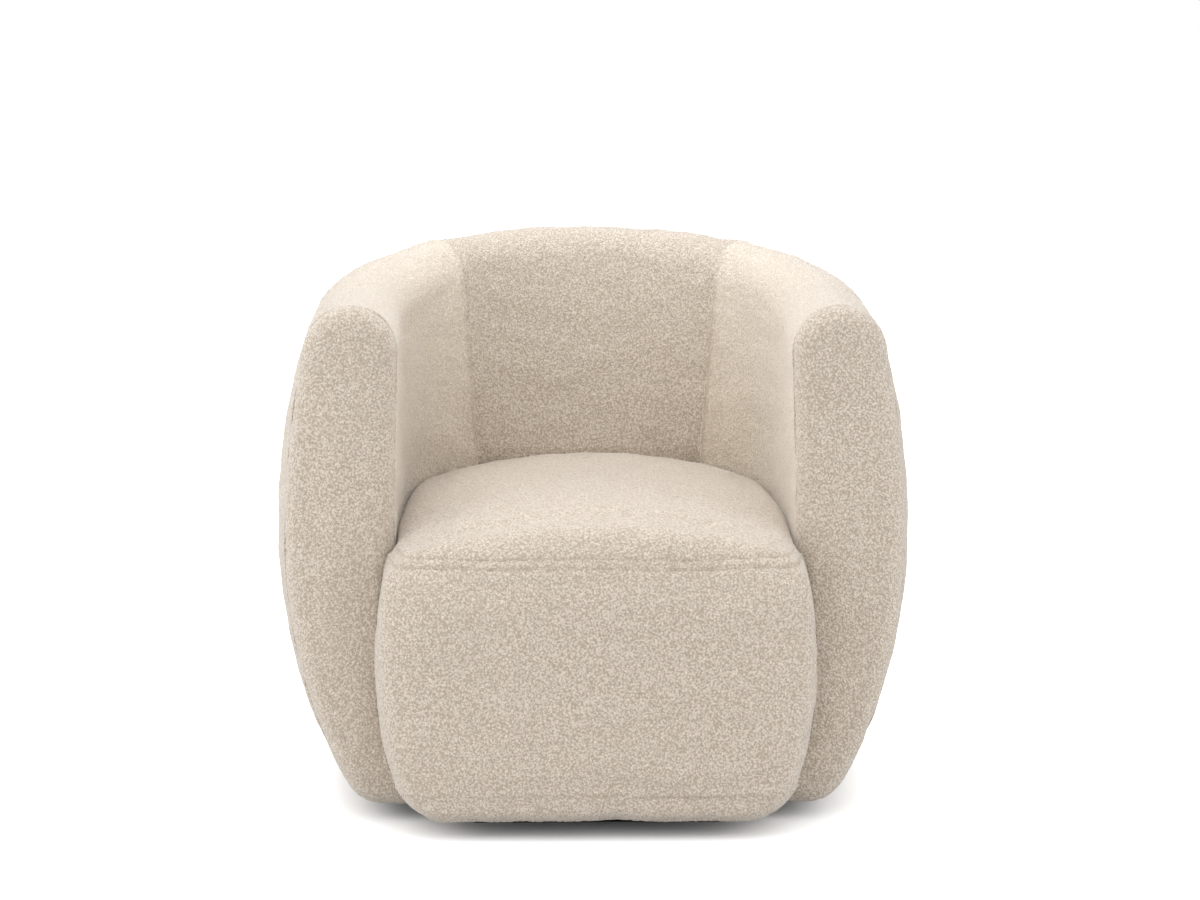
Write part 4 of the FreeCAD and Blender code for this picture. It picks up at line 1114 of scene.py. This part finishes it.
FINISHES = {
    "plywood": surface("plywood", ringed, (0.42, 0.27, 0.14), (0.62, 0.45, 0.27), 0.6, scale=14.0,
                       stretch=(1, 1, 0.15)),
    "foam": surface("foam", pored, (0.70, 0.63, 0.42), (0.84, 0.79, 0.62), 0.95, scale=450.0),
    "black_board": surface("black_board", speckled, (0.012, 0.012, 0.012), (0.03, 0.03, 0.03), 0.5,
                           scale=180.0),
    "rubber_pad": surface("rubber_pad", pored, (0.02, 0.02, 0.02), (0.045, 0.045, 0.045), 0.8,
                          scale=700.0),
    "black_steel": surface("black_steel", speckled, (0.02, 0.02, 0.024), (0.04, 0.04, 0.046), 0.4, 0.6,
                           scale=600.0, bump=0.0001),
    "bright_steel": surface("bright_steel", speckled, (0.50, 0.50, 0.50), (0.68, 0.68, 0.67), 0.3, 1.0,
                            scale=300.0, stretch=(1, 0.05, 1), bump=0.0001),
    "cage_plastic": surface("cage_plastic", speckled, (0.42, 0.42, 0.40), (0.55, 0.55, 0.53), 0.5,
                            scale=400.0, bump=0.0001),
    "dust_cloth": surface("dust_cloth", pored, (0.015, 0.015, 0.015), (0.05, 0.05, 0.05), 0.95,
                          scale=500.0),
    "webbing": surface("webbing", woven, (0.14, 0.12, 0.10), (0.33, 0.29, 0.24), 0.9, scale=160.0),
    "felt": surface("felt", speckled, (0.25, 0.24, 0.22), (0.44, 0.43, 0.40), 0.95, scale=700.0,
                    bump=0.0008),
    "liner_board": surface("liner_board", speckled, (0.34, 0.26, 0.17), (0.52, 0.42, 0.30), 0.8,
                           scale=220.0),
}
for part in frame["record"]["subparts"]:
    if part["material_slot"] in FINISHES:
        data = frame["nodes"][part["node"]].data
        data.materials.clear()
        data.materials.append(FINISHES[part["material_slot"]])

# Studio

def studio_floor():
    """A white floor: lit as paper, lifted towards white where it is seen away from the chair; near the
    chair the lift fades, a painted contact shadow on top of the real one.
    """
    floor = bpy.data.objects.new("floor", bpy.data.meshes.new("floor"))
    corners = [(-30, -30, 0), (30, -30, 0), (30, 30, 0), (-30, 30, 0)]
    floor.data.from_pydata(corners, [], [(0, 1, 2, 3)])
    bpy.context.scene.collection.objects.link(floor)
    material, tree, shader = new_material("studio_floor")
    link = tree.links.new
    shader.inputs["Base Color"].default_value = (0.75, 0.75, 0.75, 1)
    shader.inputs["Roughness"].default_value = 0.9
    shader.inputs["Specular IOR Level"].default_value = 0.0
    ray = add_node(tree, "ShaderNodeLightPath")
    seen = add_node(tree, "ShaderNodeMath", operation="MAXIMUM")
    link(ray.outputs["Is Camera Ray"], seen.inputs[0])
    link(ray.outputs["Is Glossy Ray"], seen.inputs[1])
    # Ambient occlusion dims the glow near the chair: painted contact shadow
    near = add_node(tree, "ShaderNodeAmbientOcclusion")
    near.inputs["Distance"].default_value = 0.1
    scaled = add_node(tree, "ShaderNodeMath", operation="MULTIPLY")
    link(seen.outputs[0], scaled.inputs[0])
    link(near.outputs["AO"], scaled.inputs[1])
    glow = add_node(tree, "ShaderNodeEmission")
    link(scaled.outputs[0], glow.inputs["Strength"])
    both = add_node(tree, "ShaderNodeAddShader")
    link(shader.outputs[0], both.inputs[0])
    link(glow.outputs[0], both.inputs[1])
    link(both.outputs[0], tree.nodes["Material Output"].inputs["Surface"])
    floor.data.materials.append(material)


def studio_world():
    world = bpy.data.worlds.new("studio")
    bpy.context.scene.world = world
    world.use_nodes = True
    tree = world.node_tree
    sky = tree.nodes["Background"]
    sky.inputs["Color"].default_value = (1, 1, 1, 1)
    ray = add_node(tree, "ShaderNodeLightPath")
    level = add_node(tree, "ShaderNodeMapRange")
    level.inputs["To Min"].default_value = 0.95
    level.inputs["To Max"].default_value = 1.0
    tree.links.new(ray.outputs["Is Camera Ray"], level.inputs["Value"])
    tree.links.new(level.outputs[0], sky.inputs["Strength"])


def lamp(name, place, target, size, power):
    light = bpy.data.lights.new(name, "AREA")
    light.shape, light.size, light.energy = "DISK", size, power
    holder = bpy.data.objects.new(name, light)
    bpy.context.scene.collection.objects.link(holder)
    holder.location = place
    toward = Vector(target) - Vector(place)
    holder.rotation_mode = "QUATERNION"
    holder.rotation_quaternion = toward.to_track_quat("-Z", "Y")


studio_floor()
studio_world()
lamp("overhead", (-0.45, 0.5, 2.7), (0.0, 0.0, 0.4), 2.2, 40.0)
lamp("left_wall", (-2.4, -1.0, 1.1), (0.0, -0.1, 0.3), 1.6, 16.0)
lamp("right_wall", (2.4, -1.0, 1.1), (0.0, -0.1, 0.3), 1.6, 12.0)

YAW, DISTANCE, EYE, PITCH = math.radians(1.0), 3.47, 0.863, math.radians(7.14)
view = bpy.data.cameras.new("camera")
camera = bpy.data.objects.new("camera", view)
bpy.context.scene.collection.objects.link(camera)
camera.location = (-DISTANCE * math.sin(YAW), -DISTANCE * math.cos(YAW), EYE)
camera.rotation_euler = (math.pi / 2 - PITCH, 0.0, -YAW)
view.sensor_width = 36.0
view.lens = 36.0 * 2612 / 1200
view.shift_x = 8.5 / 1200
bpy.context.scene.camera = camera

settings = bpy.context.scene.view_settings
settings.view_transform = "Standard"
